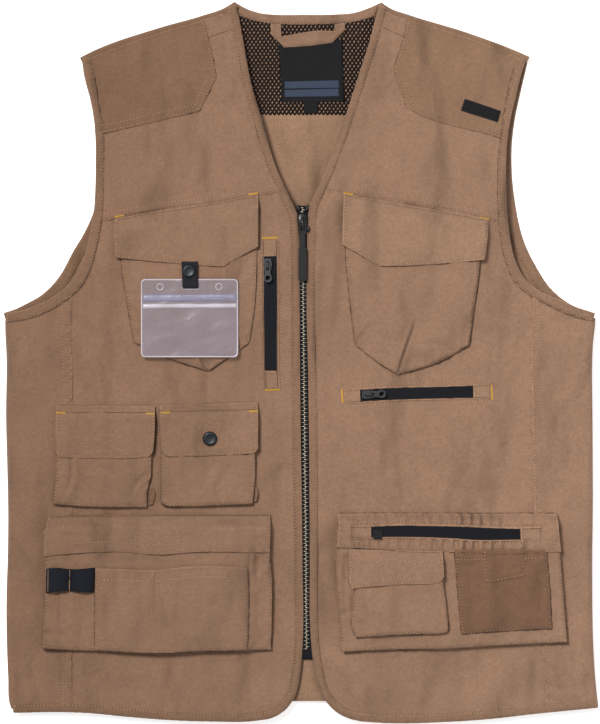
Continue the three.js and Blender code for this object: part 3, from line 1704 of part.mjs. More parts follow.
// Badge holder hung from its strap on the chest pocket
function buildBadge() {
  const level = chestPocketDepth + fit * 2;
  const left = zipOffset - badgeFromZip - badgeWidth;
  const bottom = chestLine(sides.right) - badgeDrop - badgeHeight;
  const outline = roundedBox(left, bottom, left + badgeWidth, bottom + badgeHeight, badgeCorner);
  const slotX = left + badgeWidth * 0.51;
  const slotTop = bottom + badgeHeight - badgeSlotDrop;
  const slotHalf = badgeStrapWidth / 2 + 1;
  let holder = prism(outline, level, level + badgeWall);
  const pit = prism(grown(outline, -badgeRim), level + badgeWall * 0.6, skyAbove);
  const pitArea = prism(box2(left, bottom, left + badgeWidth, bottom + badgeHeight * 0.66), level, skyAbove);
  holder = holder.subtract(pit.intersect(pitArea));
  holder = holder.subtract(cutter(box2(slotX - slotHalf, slotTop - 3, slotX + slotHalf, slotTop)));
  for (const share of [0.2, 0.8]) {
    const x = left + badgeWidth * share;
    holder = holder.subtract(discAt(x, slotTop - 1, eyeletRadius, level - 1, level + badgeWall + 1));
  }
  add('badge_holder', onFront(holder), colours.clear, 0.2, 0);
  const strapLow = level + badgeWall + fit;
  const strapTop = slotTop + badgeStrapLength - 2.5;
  const half = badgeStrapWidth / 2;
  const strapArea = roundedBox(slotX - half, slotTop - 2, slotX + half, strapTop, 2);
  const foldedArea = box2(-farAway, bottom + badgeHeight + fit, farAway, farAway);
  const folded = prism(strapArea, level, strapLow + webbingWall).intersect(cutter(foldedArea));
  const strap = prism(strapArea, strapLow, strapLow + webbingWall).add(folded);
  addCloth('badge_strap', onFront(strap), colours.black);
  const cap = snapCap(slotX - 1.5, strapTop - 7.5, strapLow + webbingWall + fit);
  add('badge_snap', onFront(cap), colours.metal, 0.35, 0.6);
}

function roundedBox(x0, y0, x1, y1, radius) {
  const centres = [
    { x: x1 - radius, y: y0 + radius, from: -90 },
    { x: x1 - radius, y: y1 - radius, from: 0 },
    { x: x0 + radius, y: y1 - radius, from: 90 },
    { x: x0 + radius, y: y0 + radius, from: 180 },
  ];
  const points = [];
  for (const centre of centres) {
    for (let i = 0; i <= 3; i += 1) {
      const angle = THREE.MathUtils.degToRad(centre.from + i * 30);
      points.push(new THREE.Vector2(
        centre.x + radius * Math.cos(angle),
        centre.y + radius * Math.sin(angle),
      ));
    }
  }
  return points;
}

// Small label sewn on the left shoulder patch, along its slant
function buildShoulderLabel() {
  const middle = spot({ out: 0.608, down: 0.152 });
  const slant = THREE.MathUtils.degToRad(shoulderLabelSlant);
  const half = shoulderLabelLength / 2;
  const label = box2(-half, -shoulderLabelHeight / 2, half, shoulderLabelHeight / 2).map((p) => {
    return p.clone().rotateAround(new THREE.Vector2(0, 0), slant).add(middle);
  });
  const flat = prism(label, fit * 2, fit * 2 + labelWall);
  add('shoulder_label', onFront(flat), colours.black, 0.6, 0);
}

for (const [name, side] of Object.entries(sides)) {
  buildFront(name, side);
  buildSide(name, side);
  buildShoulderFold(name, side);
}
buildBack();
buildNeck();
buildShoulderLabel();
buildMainZip();
buildSmallZips();
buildChestPockets();
buildBadge();
buildSmallPockets();
buildCargoRight();
buildCargoLeft();

// The origin is under the middle of the whole garment, on the floor
const reach = new THREE.Box3().setFromObject(vest);
const middle = reach.getCenter(new THREE.Vector3());
vest.position.set(-middle.x, -middle.y, -reach.min.z);

export default vest;
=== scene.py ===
# Utility work vest laid flat on its back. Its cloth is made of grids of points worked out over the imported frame.
import json

import bmesh
import bpy
import numpy as np
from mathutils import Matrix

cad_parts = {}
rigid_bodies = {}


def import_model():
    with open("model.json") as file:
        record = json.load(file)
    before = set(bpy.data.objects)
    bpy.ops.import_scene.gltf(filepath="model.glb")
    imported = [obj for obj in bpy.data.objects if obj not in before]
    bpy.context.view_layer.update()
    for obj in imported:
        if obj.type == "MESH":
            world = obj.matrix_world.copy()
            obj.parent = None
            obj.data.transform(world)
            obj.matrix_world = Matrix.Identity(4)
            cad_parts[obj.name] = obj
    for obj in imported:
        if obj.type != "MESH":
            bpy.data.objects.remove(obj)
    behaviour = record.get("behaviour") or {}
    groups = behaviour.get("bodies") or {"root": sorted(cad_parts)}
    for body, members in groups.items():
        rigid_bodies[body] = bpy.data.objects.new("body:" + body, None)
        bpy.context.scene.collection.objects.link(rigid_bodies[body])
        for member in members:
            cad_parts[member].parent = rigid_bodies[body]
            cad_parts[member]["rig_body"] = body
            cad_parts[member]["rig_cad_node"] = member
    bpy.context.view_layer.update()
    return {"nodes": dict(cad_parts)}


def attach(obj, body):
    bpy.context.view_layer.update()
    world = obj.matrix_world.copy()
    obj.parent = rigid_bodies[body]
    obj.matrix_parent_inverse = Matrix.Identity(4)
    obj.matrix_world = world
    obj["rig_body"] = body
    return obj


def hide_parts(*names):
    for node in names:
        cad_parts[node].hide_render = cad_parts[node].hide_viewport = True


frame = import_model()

print("frame loaded: %d nodes" % len(frame["nodes"]))

# one pixel of the photo is one millimetre; outlines below are photo pixels, x to the right and y down
photo = {"middleX": 300, "middleY": 362, "shiftX": -0.3745, "shiftY": 0.4859, "high": 724}

# how the front lies, in millimetres: the same slopes as the frame's own cloth
lie = {
    "chestRise": 15.5, "hemRise": 12, "shoulderRise": 5, "sideFall": 2, "yokeFall": 7, "shoulderRun": 45,
    "wall": 1.2, "halfWidth": 298, "zipX": 5, "topY": 360.5, "hemY": -360.5, "creaseY": 180.97,
    "neckRight": (236.2, 1.5), "armRight": (80.1, 57), "neckLeft": (379.3, 2.2), "armLeft": (529.2, 56.3),
}


# photo pixels to millimetres of the garment, y upwards
def toGarment(points):
    rows = np.array(points, float).reshape(-1, 2)
    return np.stack([rows[:, 0] - photo["middleX"], photo["middleY"] - rows[:, 1]], 1)


# distance from the straight line that joins the neck point and the arm point of the nearer shoulder
def shoulderDistance(x, y):
    found = []
    for neck, arm in (("neckRight", "armRight"), ("neckLeft", "armLeft")):
        (nx, ny), (ax, ay) = toGarment([lie[neck], lie[arm]])
        size = np.hypot(ax - nx, ay - ny)
        found.append(np.abs((ax - nx) * (y - ny) - (ay - ny) * (x - nx)) / size)
    return np.where(x < lie["zipX"], found[0], found[1])


# top of the front cloth: the lower of the body slope and the yoke slope, less a fall to the sides,
# eased down to the shoulder line
def clothTop(x, y):
    across = lie["sideFall"] / (0.77 * lie["halfWidth"]) * np.abs(x - lie["zipX"])
    bodySlope = (lie["chestRise"] - lie["hemRise"]) / (lie["creaseY"] - lie["hemY"])
    body = lie["chestRise"] - bodySlope * (lie["creaseY"] - y)
    yoke = lie["chestRise"] - lie["yokeFall"] / (lie["topY"] - lie["creaseY"]) * (y - lie["creaseY"])
    shoulder = lie["shoulderRise"] + shoulderDistance(x, y) / lie["shoulderRun"] * lie["yokeFall"] * 0.6
    low = np.minimum(np.minimum(body, yoke) - across, shoulder)
    return np.maximum(low, lie["shoulderRise"]) + lie["wall"]


# cubic pieces through the points, each end slope the weighted mean of the chords beside it
def spline(points):
    if len(points) < 2:
        return points
    chord = np.diff(points, axis=0)
    span = np.hypot(*chord.T)
    chord = chord / span[:, None]
    slope = np.concatenate([chord[:1], chord])
    slope[1:-1] = chord[:-1] * span[1:, None] + chord[1:] * span[:-1, None]
    slope[1:-1] /= (span[1:] + span[:-1])[:, None]
    run = np.concatenate([[0], np.cumsum(span)])
    at = np.linspace(0, run[-1], int(run[-1] * 2) + 3)
    i = np.clip(np.searchsorted(run, at, side="right") - 1, 0, len(span) - 1)
    q = ((at - run[i]) / span[i])[:, None]
    step = span[i][:, None]
    near = (2 * q**3 - 3 * q**2 + 1) * points[i] + (q**3 - 2 * q**2 + q) * step * slope[i]
    return near + (3 * q**2 - 2 * q**3) * points[i + 1] + (q**3 - q**2) * step * slope[i + 1]


# smooth line through photo points, with a corner wherever a point is given twice
def curve(points):
    rows = toGarment(points)
    same = np.all(rows[1:] == rows[:-1], axis=1)
    cuts = [0, *(np.nonzero(same)[0] + 1), len(rows)]
    return np.concatenate([spline(rows[a:b]) for a, b in zip(cuts[:-1], cuts[1:])])


def lengthOf(line):
    return float(np.hypot(*np.diff(line, axis=0).T).sum())


# count points at equal steps of the line's own length, leaving out a trim at both ends
def evenly(line, count, trim=0):
    run = np.concatenate([[0], np.cumsum(np.hypot(*np.diff(line, axis=0).T))])
    at = np.linspace(trim, run[-1] - trim, count)
    return np.stack([np.interp(at, run, line[:, 0]), np.interp(at, run, line[:, 1])], 1)


# the line moved sideways, to the left of its run
def beside(line, distance):
    run = np.gradient(line, axis=0)
    run /= np.maximum(np.hypot(*run.T), 1e-9)[:, None]
    return line + distance * np.stack([-run[:, 1], run[:, 0]], 1)


allSides = ("top", "bottom", "left", "right")
sewnSides = ("left", "bottom", "right")


# the sides of a piece in photo points: left and right are given without their ends, which are the corners
def outline(top, bottom, left=(), right=()):
    return {"top": top, "bottom": bottom, "left": [top[0], *left, bottom[0]],
            "right": [top[-1], *right, bottom[-1]]}


# blend of the four sides: the two ruled surfaces added, less the one through the corners
def fourSided(sides, step):
    top, bottom, left, right = (curve(sides[k]) for k in allSides)
    across = int(max(lengthOf(top), lengthOf(bottom)) / step) + 3
    down = int(max(lengthOf(left), lengthOf(right)) / step) + 3
    top, bottom = evenly(top, across), evenly(bottom, across)
    v = np.linspace(0, 1, down)[:, None]
    left, right = evenly(left, down), evenly(right, down)
    left = left + (1 - v) * (top[0] - left[0]) + v * (bottom[0] - left[-1])
    right = right + (1 - v) * (top[-1] - right[0]) + v * (bottom[-1] - right[-1])
    u, v = np.linspace(0, 1, across)[None, :, None], v[:, :, None]
    net = (1 - v) * top[None] + v * bottom[None] + (1 - u) * left[:, None] + u * right[:, None]
    net -= (1 - v) * ((1 - u) * top[0] + u * top[-1]) + v * ((1 - u) * bottom[0] + u * bottom[-1])
    return net[..., 0], net[..., 1]


# a strip beside a path: rows along it, columns across its width, to the left of its run,
# or for a negative width to the right, with its columns turned so that its upper side stays up
def ribbon(points, width, step, columns=7):
    line = curve(points)
    line = evenly(line, int(lengthOf(line) / step) + 2)
    edges = [beside(line, width * share) for share in np.linspace(0, 1, columns)]
    net = np.stack(edges if width > 0 else edges[::-1], 1)
    return net[..., 0], net[..., 1]


# how far each grid point is from the four sides, measured along the grid lines
def reachOf(x, y):
    sideways = np.hypot(np.diff(x, axis=1), np.diff(y, axis=1))
    downways = np.hypot(np.diff(x, axis=0), np.diff(y, axis=0))
    left = np.pad(np.cumsum(sideways, axis=1), ((0, 0), (1, 0)))
    top = np.pad(np.cumsum(downways, axis=0), ((1, 0), (0, 0)))
    reach = {"left": left, "right": left[:, -1:] - left, "top": top, "bottom": top[-1:] - top}
    reach["sides"] = np.minimum(reach["left"], reach["right"])
    reach["edge"] = np.minimum(reach["sides"], np.minimum(reach["top"], reach["bottom"]))
    reach["sewn"] = np.minimum(reach["sides"], reach["bottom"])
    return reach


def ease(share):
    q = np.clip(share, 0, 1)
    return q * q * (3 - 2 * q)


# soft unevenness: seven sine waves in chance directions, about one wave length each
def rumple(x, y, wave, seed):
    draw = np.random.default_rng(seed)
    total = np.zeros_like(x)
    for _ in range(7):
        turn, phase = draw.uniform(0, 2 * np.pi, 2)
        size = wave * draw.uniform(0.6, 1.7)
        total += np.sin((x * np.cos(turn) + y * np.sin(turn)) * 2 * np.pi / size + phase)
    return total / 7


# ripples square to a seam that fade away from it
def puckers(reach, sides, amount, wave, fade, seed):
    draw = np.random.default_rng(seed)
    total = np.zeros_like(reach["left"])
    for side in sides:
        along = reach["top"] if side in ("left", "right") else reach["left"]
        ripple = np.zeros_like(total)
        for _ in range(4):
            size, phase = wave * draw.uniform(0.55, 1.7), draw.uniform(0, 2 * np.pi)
            ripple += np.sin(along * 2 * np.pi / size + phase) / 4
        total += ripple * np.exp(-reach[side] / fade)
    return amount * total


# a crease along a line: a bell-shaped trough with a softer ridge on one side, fading at its end or at both;
# the rows called folds hold its width, depth, ridge height and line
def crease(x, y, wide, deep, ridge, points, bothEnds=False):
    line = curve(points)
    line = evenly(line, max(int(lengthOf(line) / 2), 6))
    away = np.hypot(x[..., None] - line[:, 0], y[..., None] - line[:, 1])
    near = away.argmin(axis=-1)
    run = np.gradient(line, axis=0)
    run /= np.hypot(*run.T)[:, None]
    offX, offY = x - line[near, 0], y - line[near, 1]
    aside = run[near, 0] * offY - run[near, 1] * offX
    distance = away.min(axis=-1)
    share = near / (len(line) - 1)
    fade = np.sqrt(np.clip((1 - share) * 1.4, 0, 1))
    if bothEnds:
        fade = fade * np.sqrt(np.clip(share * 1.4, 0, 1))
    trough = -deep * np.exp(-((distance / wide) ** 2))
    beyond = ((aside - 1.8 * wide) / (1.4 * wide)) ** 2
    return fade * (trough + ridge * np.exp(-beyond - (distance / (6 * wide)) ** 4))


# half-millimetre map of how high the cloth lies, so that thread and trim can be set on it
highMap = {"cell": 0.5, "left": -310, "low": -370, "z": np.zeros((1480, 1240))}


def finer(values, times):
    for axis in (0, 1):
        count = values.shape[axis]
        at = np.linspace(0, count - 1, (count - 1) * times + 1)
        i = np.minimum(at.astype(int), count - 2)
        share = (at - i).reshape((-1, 1) if axis == 0 else (1, -1))
        values = np.take(values, i, axis) * (1 - share) + np.take(values, i + 1, axis) * share
    return values


def cellsOf(x, y):
    rows, columns = highMap["z"].shape
    column = np.clip(((x - highMap["left"]) / highMap["cell"]).astype(int), 0, columns - 1)
    row = np.clip(((y - highMap["low"]) / highMap["cell"]).astype(int), 0, rows - 1)
    return row, column


# writes a piece's heights into the map, from a grid made fine enough to leave no cell out
def noteHeights(x, y, z):
    finest = 0.7 * highMap["cell"]
    times = int(max(np.abs(np.diff(x, axis=1)).max(), np.abs(np.diff(y, axis=0)).max()) / finest) + 1
    highMap["z"][cellsOf(finer(x, times), finer(y, times))] = finer(z, times)


def heightAt(x, y):
    return highMap["z"][cellsOf(x, y)]


# height of what lies below, evened out three times over the grid's neighbours, plus a gap
def restOn(x, y, gap):
    z = heightAt(x, y)
    for _ in range(3):
        wide = np.pad(z, 1, mode="edge")
        z = (wide[:-2, 1:-1] + wide[2:, 1:-1] + wide[1:-1, :-2] + wide[1:-1, 2:] + 2 * z) / 6
    return z + gap


def toMetres(points):
    shift = np.array([photo["shiftX"], photo["shiftY"], 0])
    return (np.asarray(points, float).reshape(-1, 3) + shift) / 1000


# mesh from points in millimetres and one or more arrays of faces of equal size
def makeMesh(name, points, faces, uv=None, edge=None):
    faces = [np.asarray(f).reshape(-1, f.shape[-1]) for f in faces]
    mesh = bpy.data.meshes.new(name)
    mesh.vertices.add(len(points))
    mesh.vertices.foreach_set("co", toMetres(points).ravel())
    corners = np.concatenate([f.ravel() for f in faces]).astype(np.int32)
    sizes = np.concatenate([np.full(len(f), f.shape[1]) for f in faces]).astype(np.int32)
    mesh.loops.add(len(corners))
    mesh.loops.foreach_set("vertex_index", corners)
    mesh.polygons.add(len(sizes))
    mesh.polygons.foreach_set("loop_start", np.concatenate([[0], np.cumsum(sizes)[:-1]]).astype(np.int32))
    mesh.polygons.foreach_set("loop_total", sizes)
    mesh.polygons.foreach_set("use_smooth", np.ones(len(sizes), bool))
    if uv is not None:
        mesh.uv_layers.new(name="cloth").data.foreach_set("uv", np.asarray(uv, float)[corners].ravel())
    if edge is not None:
        mesh.attributes.new("edge", "FLOAT", "POINT").data.foreach_set("value", np.asarray(edge, np.float32))
    mesh.update(calc_edges=True)
    mesh.validate()
    piece = bpy.data.objects.new(name, mesh)
    bpy.context.scene.collection.objects.link(piece)
    return piece


# the cells of a grid that closes on itself: four-sided faces between its rows, and a cap on both ends
def ringFaces(rows, columns):
    cell = np.arange(rows - 1)[:, None] * columns
    i, j = np.arange(columns), (np.arange(columns) + 1) % columns
    quads = np.stack([cell + i, cell + j, cell + columns + j, cell + columns + i], -1).reshape(-1, 4)
    return [quads, i[None, ::-1], (i + (rows - 1) * columns)[None]]


# the four-sided faces between a few rings of count points each
def spansRound(rings, count):
    return np.array([
        (s * count + k, s * count + (k + 1) % count, (s + 1) * count + (k + 1) % count, (s + 1) * count + k)
        for s in range(rings) for k in range(count)])


def turnOutward(piece):
    form = bmesh.new()
    form.from_mesh(piece.data)
    bmesh.ops.recalc_face_normals(form, faces=form.faces)
    form.to_mesh(piece.data)
    form.free()


# closed sheet from a grid of upper points: the lower grid lies a wall below along the normals,
# and the rim between them bulges by a third of the wall
def slab(name, net, wall, reach):
    rows, columns = net.shape[:2]
    alongU, alongV = np.gradient(net, axis=1), np.gradient(net, axis=0)
    normal = np.cross(alongV, alongU)
    normal /= np.maximum(np.linalg.norm(normal, axis=-1, keepdims=True), 1e-9)
    lower = net - wall * normal
    down, across = np.arange(rows), np.arange(columns)
    loop = np.concatenate([
        np.stack([down[:-1], 0 * down[:-1]], 1),
        np.stack([0 * across[:-1] + rows - 1, across[:-1]], 1),
        np.stack([down[:0:-1], 0 * down[:0:-1] + columns - 1], 1),
        np.stack([0 * across[:0:-1], across[:0:-1]], 1),
    ])
    inner = np.stack([np.clip(loop[:, 0], 1, rows - 2), np.clip(loop[:, 1], 1, columns - 2)], 1)
    border, below = net[loop[:, 0], loop[:, 1]], lower[loop[:, 0], loop[:, 1]]
    out = border - net[inner[:, 0], inner[:, 1]]
    out /= np.maximum(np.linalg.norm(out, axis=-1, keepdims=True), 1e-9)
    rim = (border + below) / 2 + out * wall * 0.35
    size = rows * columns
    cell = (down[:-1, None] * columns + across[None, :-1]).ravel()
    upper = np.stack([cell, cell + columns, cell + columns + 1, cell + 1], 1)
    under = upper[:, ::-1] + size
    i = loop[:, 0] * columns + loop[:, 1]
    j = np.roll(i, -1)
    m = 2 * size + np.arange(len(i))
    n = np.roll(m, -1)
    sides = np.concatenate([np.stack([i, m, n, j], 1), np.stack([m, i + size, j + size, n], 1)])
    uv = np.stack([reach["left"].ravel(), reach["top"].ravel()], 1) / 1000
    edge = reach["edge"].ravel()
    points = np.concatenate([net.reshape(-1, 3), lower.reshape(-1, 3), rim])
    uv = np.concatenate([uv, uv, uv[i]])
    edge = np.concatenate([edge, edge, 0 * edge[i]])
    return makeMesh(name, points, [upper, under, sides], uv, edge)


def finish(piece, finishName, nodes, body="garment"):
    piece.data.materials.append(finishes[finishName])
    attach(piece, body)
    if nodes:
        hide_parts(*nodes)
    return piece


# lay one cloth piece over what lies below it: level above the front cloth, rises from its sides,
# creases, ripples at its seams and soft unevenness
def lay(name, spec, x=None, y=None):
    if x is None:
        x, y = fourSided(spec["sides"], spec.get("step", 2.2))
    reach = reachOf(x, y)
    z = np.full(x.shape, float(spec.get("level", 0)))
    if "over" in spec:
        z += restOn(x, y, spec["over"])
    elif spec.get("onFront", True):
        z += clothTop(x, y)
    for side, run, high in spec.get("rise", ()):
        z += high * ease(reach[side] / run)
    for fold in spec.get("folds", ()):
        z += crease(x, y, *fold)
    seed = spec.get("seed", sum(map(ord, name)))
    calm = ease(reach["edge"] / 6)
    uneven, wave = spec.get("rumple", 0.5), spec.get("wave", 55)
    z += uneven * rumple(x, y, wave, seed) * calm
    z += 0.5 * uneven * rumple(x, y, wave * 0.34, seed + 1) * calm
    z += puckers(reach, spec.get("puckered", ()), spec.get("pucker", 0.35), spec.get("ripple", 9), 5, seed)
    if "extra" in spec:
        z += spec["extra"](x, y, reach)
    piece = slab(name, np.stack([x, y, z], -1), spec.get("wall", 1.2), reach)
    noteHeights(x, y, z)
    finish(piece, spec.get("finish", spec["slot"]), spec.get("nodes", ()))
    return piece


# bellows under a pocket's front wall: its outline carried down a folded profile to the cloth below;
# the rows say how far inside the outline, below nought outside it, and how high between base and top
folded = [(0.4, 1.0), (1.6, 0.86), (3.6, 0.62), (1.4, 0.42), (3.2, 0.2), (0.6, 0.03), (-1.4, 0.0)]


def bellows(name, sides, top, base):
    line = np.concatenate([curve(sides["left"]), curve(sides["bottom"]), curve(sides["right"])[::-1]])
    line = evenly(line, int(lengthOf(line) / 3) + 2)
    nets = []
    for inset, high in folded:
        moved = beside(line, inset)
        level = base + high * (top - base)
        wave = 0.25 * np.sin(np.arange(len(line)) * 0.9 + high * 4)
        nets.append(np.stack([*moved.T, clothTop(*moved.T) + level + wave * (high < 0.9)], 1))
    net = np.stack(nets, 1)
    reach = reachOf(net[..., 0] + 0.5 * net[..., 2], net[..., 1])
    finish(slab(name, net[::-1], 0.9, reach), "patch", ())


# small things in joined meshes: thread, needle holes in painted shade, bars
threadRows = {"tan": [], "yellow": [], "dark": [], "pale": [], "black": []}
needleRows = []
inwards = {"top": -1, "bottom": 1, "left": 1, "right": -1}


# stitches along a line: each is noted by its two ends and middle on the cloth's height at this moment
def sew(points, inset=0, pitch=3.2, share=0.66, thread="tan", trim=0, wide=0.8, high=0.42, holes=True):
    line = points if isinstance(points, np.ndarray) else curve(points)
    line = beside(line, inset) if inset else line
    count = int((lengthOf(line) - 2 * trim) / pitch)
    if count < 1:
        return
    stops = evenly(line, 2 * count + 1, trim)
    middle = stops[1::2]
    run = stops[2::2] - stops[:-2:2]
    run /= np.hypot(*run.T)[:, None]
    half = run * pitch * share / 2
    ends = [middle - half, middle, middle + half]
    rows = np.stack([np.column_stack([p, heightAt(*p.T)]) for p in ends], 1)
    threadRows[thread].append((rows, run, wide, high))
    if holes:
        at = stops[2:-1:2]
        needleRows.append(np.column_stack([at, heightAt(*at.T)]))


# plain edge stitching also gets a dark line just outside its edge, laid as painted shadow of the sewn edge
def sewSides(spec, sides, inset, **how):
    for side in sides:
        line = curve(spec["sides"][side])
        sew(line, inset * inwards[side], trim=inset * 0.8, **how)
        if inset < 2 and not how:
            sew(line, -0.5 * inwards[side], thread="dark", pitch=10, share=1.04, holes=False, wide=1.0, high=0.25)


# a pocket that stands out: bellows, then its front wall, sewn along three sides
def raisedPocket(name, bellowsName, pocket, inset, top, base=0.9):
    bellows(bellowsName, pocket["sides"], top, base)
    lay(name, pocket)
    sewSides(pocket, sewnSides, inset)


# a dark line laid beside a zip's lip as painted shadow of the narrow groove there
grooveShadowLine = {"thread": "dark", "pitch": 2.6, "share": 1.1, "holes": False}


# a dense bar of thread laid across a short line
def tack(start, end, thick=2.2, thread="yellow"):
    a, b = toGarment([start, end])
    count = int(np.hypot(*(b - a)) / 0.62)
    middle = a + (b - a) * np.linspace(0, 1, count)[:, None]
    run = np.array([-(b - a)[1], (b - a)[0]]) / np.hypot(*(b - a))
    run = np.repeat(run[None], count, 0)
    lean = 1 + 0.12 * np.sin(np.arange(count) * 2.4)[:, None]
    ends = [middle - run * thick / 2 * lean, middle, middle + run * thick / 2 * lean]
    rows = np.stack([np.column_stack([p, heightAt(*p.T) + 0.1]) for p in ends], 1)
    threadRows[thread].append((rows, run, 0.74, 0.5))


# stitches round a box and along both its diagonals
def crossBox(x0, y0, x1, y1):
    corners = [(x0, y0), (x1, y0), (x1, y1), (x0, y1)]
    for a, b in ((0, 1), (1, 2), (2, 3), (3, 0), (0, 2), (3, 1)):
        sew([corners[a], corners[b]], pitch=2.7)


# each stitch is a three-sided spindle: wide and high in the middle, narrow and sunk at both ends
def threadMesh(name, kinds, finishName):
    points, faces, start = [], [], 0
    for rows, run, wide, high in kinds:
        aside = np.column_stack([-run[:, 1], run[:, 0], np.zeros(len(run))])[:, None]
        width = np.array([0.35, 1, 0.35])[None, :, None] * wide / 2
        lift = np.array([0.1, 1, 0.1])[None, :, None] * high * np.array([0, 0, 1])
        sunk = np.array([0, 0, -0.12])
        net = np.stack([rows + aside * width + sunk, rows + lift, rows - aside * width + sunk], 2)
        points.append(net.reshape(-1, 3))
        base = start + 9 * np.arange(len(rows))[:, None]
        start += 9 * len(rows)
        faces.append((base[:, :, None] + spansRound(2, 3)[None]).reshape(-1, 4))
        faces.append((base[:, :, None] + np.array([(2, 1, 0), (6, 7, 8)])[None]).reshape(-1, 3))
    piece = makeMesh(name, np.concatenate(points), faces)
    return finish(piece, finishName, ())


# each needle hole is a small dark cone: painted shade in the dip where the thread goes into the cloth
def needleMesh(name):
    at = np.concatenate(needleRows)
    ring = np.array([(0.62, 0, -0.1), (0, 0.62, -0.1), (-0.62, 0, -0.1), (0, -0.62, -0.1), (0, 0, 0.14)])
    points = (at[:, None] + ring[None]).reshape(-1, 3)
    base = 5 * np.arange(len(at))[:, None, None]
    sides = (base + np.array([(0, 1, 4), (1, 2, 4), (2, 3, 4), (3, 0, 4)])[None]).reshape(-1, 3)
    floor = (base + np.array([(3, 2, 1, 0)])[None]).reshape(-1, 4)
    return finish(makeMesh(name, points, [sides, floor]), "needle", ())


# Finishes

# a colour of 0 to 255 as the renderer counts it
def linear(colour):
    c = np.array(colour, float) / 255
    return [*np.where(c <= 0.04045, c / 12.92, ((c + 0.055) / 1.055) ** 2.4), 1]


def newFinish(name):
    made = bpy.data.materials.new(name)
    made.use_nodes = True
    tree = made.node_tree
    shader = tree.nodes["Principled BSDF"]
    return made, tree, shader


# a shader node with its inputs, each a value or the output that is joined to it
def node(tree, kind, inputs=None, **settings):
    made = tree.nodes.new("ShaderNode" + kind)
    for key, value in settings.items():
        setattr(made, key, value)
    for key, value in (inputs or {}).items():
        socket = made.inputs[key]
        if isinstance(value, bpy.types.NodeSocket):
            tree.links.new(value, socket)
        else:
            socket.default_value = value
    return made


def mathNode(tree, what, a, b, c=None):
    inputs = {0: a, 1: b} if c is None else {0: a, 1: b, 2: c}
    return node(tree, "Math", inputs, operation=what).outputs[0]


def noise(tree, place, scale, detail, **more):
    return node(tree, "TexNoise", {"Vector": place, "Scale": scale, "Detail": detail, **more}).outputs["Fac"]


def bump(tree, height, strength, distance, **more):
    return node(tree, "Bump", {"Strength": strength, "Distance": distance, "Height": height, **more}).outputs[0]


# a texture as a factor round one
def factor(tree, texture, amount):
    return mathNode(tree, "MULTIPLY_ADD", texture, amount, 1 - amount / 2)


# joins tone and bumps to the shader and sets its plain inputs
def joinUp(tree, shader, value, colour, normal, settings):
    tone = node(tree, "HueSaturation", {"Value": value, "Color": colour}).outputs[0]
    tree.links.new(tone, shader.inputs["Base Color"])
    tree.links.new(normal, shader.inputs["Normal"])
    for key, amount in settings.items():
        shader.inputs[key].default_value = amount


# woven cloth: diagonal twill lines, single threads, faded and darker patches, paler edges that are partly wear and
# partly painted highlight, painted shade just in from the edges, soft folds, and a painted falloff of light: a tone
# that goes from the wearer's right to the left
def clothFinish(name, right, left, twill=0.24, wearAndLitRim=0.5):
    made, tree, shader = newFinish(name)
    place = node(tree, "TexCoord").outputs["Object"]
    turned = node(tree, "Mapping", {"Vector": place, "Rotation": (0, 0, 0.9)}).outputs[0]
    lines = node(tree, "TexWave", {
        "Vector": turned, "Scale": 314.0 / 1.7, "Distortion": 2.4, "Detail": 2.0,
        "Detail Scale": 1.6}).outputs["Fac"]
    threads = noise(tree, place, 950.0, 2.0)
    grain = noise(tree, place, 330.0, 3.0)
    faded = noise(tree, place, 26.0, 5.0, Roughness=0.62)
    broad = noise(tree, place, 6.5, 2.0)
    # painted light falloff: the tone goes from the darker right-hand colour at the wearer's right to the lighter
    # left-hand one
    across = node(tree, "SeparateXYZ", {0: place}).outputs[0]
    share = node(tree, "MapRange", {0: across, 1: -0.3, 2: 0.3}).outputs[0]
    tone = node(tree, "Mix", {0: share, 6: linear(right), 7: linear(left)}, data_type="RGBA").outputs[2]
    value = factor(tree, lines, twill)
    for texture, amount in ((threads, 0.4), (grain, 0.5), (faded, 0.3), (broad, 0.22)):
        value = mathNode(tree, "MULTIPLY", value, factor(tree, texture, amount))
    edge = node(tree, "Attribute", attribute_name="edge").outputs["Fac"]
    # paler within 1.5 mm of each edge: partly wear, partly a painted highlight where the folded edge catches the
    # light
    rim = node(tree, "MapRange", {0: edge, 1: 0.3, 2: 1.5, 3: wearAndLitRim, 4: 0.0}).outputs[0]
    value = mathNode(tree, "MULTIPLY", value, mathNode(tree, "MULTIPLY_ADD", rim, grain, 1.0))
    # painted shade in from each edge: full within 1.6 mm and gone at 4.5 mm, where seamed edges dip
    seam = node(tree, "MapRange", {0: edge, 1: 1.6, 2: 4.5, 3: -0.07, 4: 0.0}).outputs[0]
    value = mathNode(tree, "ADD", value, seam)
    fine = bump(tree, mathNode(tree, "MULTIPLY_ADD", lines, 0.6, threads), 0.9, 0.00022)
    crumpled = bump(tree, noise(tree, place, 85.0, 3.0), 0.8, 0.0022, Normal=fine)
    upright = node(tree, "Mapping", {"Vector": place, "Scale": (1, 0.45, 1)}).outputs[0]
    soft = bump(tree, noise(tree, upright, 18.0, 1.6), 1.0, 0.038, Normal=crumpled)
    joinUp(tree, shader, value, tone, soft, {
        "Roughness": 0.93, "Specular IOR Level": 0.22, "Sheen Weight": 0.05, "Sheen Roughness": 0.6})
    return made


# thread, tape or plastic: one colour with a fine noise in tone and height
def plainFinish(name, colour, rough=0.6, grain=700.0, amount=0.25, rise=0.3, metal=0.0, specular=0.4, coat=0.0):
    made, tree, shader = newFinish(name)
    speck = noise(tree, node(tree, "TexCoord").outputs["Object"], grain, 3.0)
    joinUp(tree, shader, factor(tree, speck, amount), linear(colour), bump(tree, speck, rise, 0.0002),
           {"Roughness": rough, "Metallic": metal, "Specular IOR Level": specular, "Coat Weight": coat})
    return made


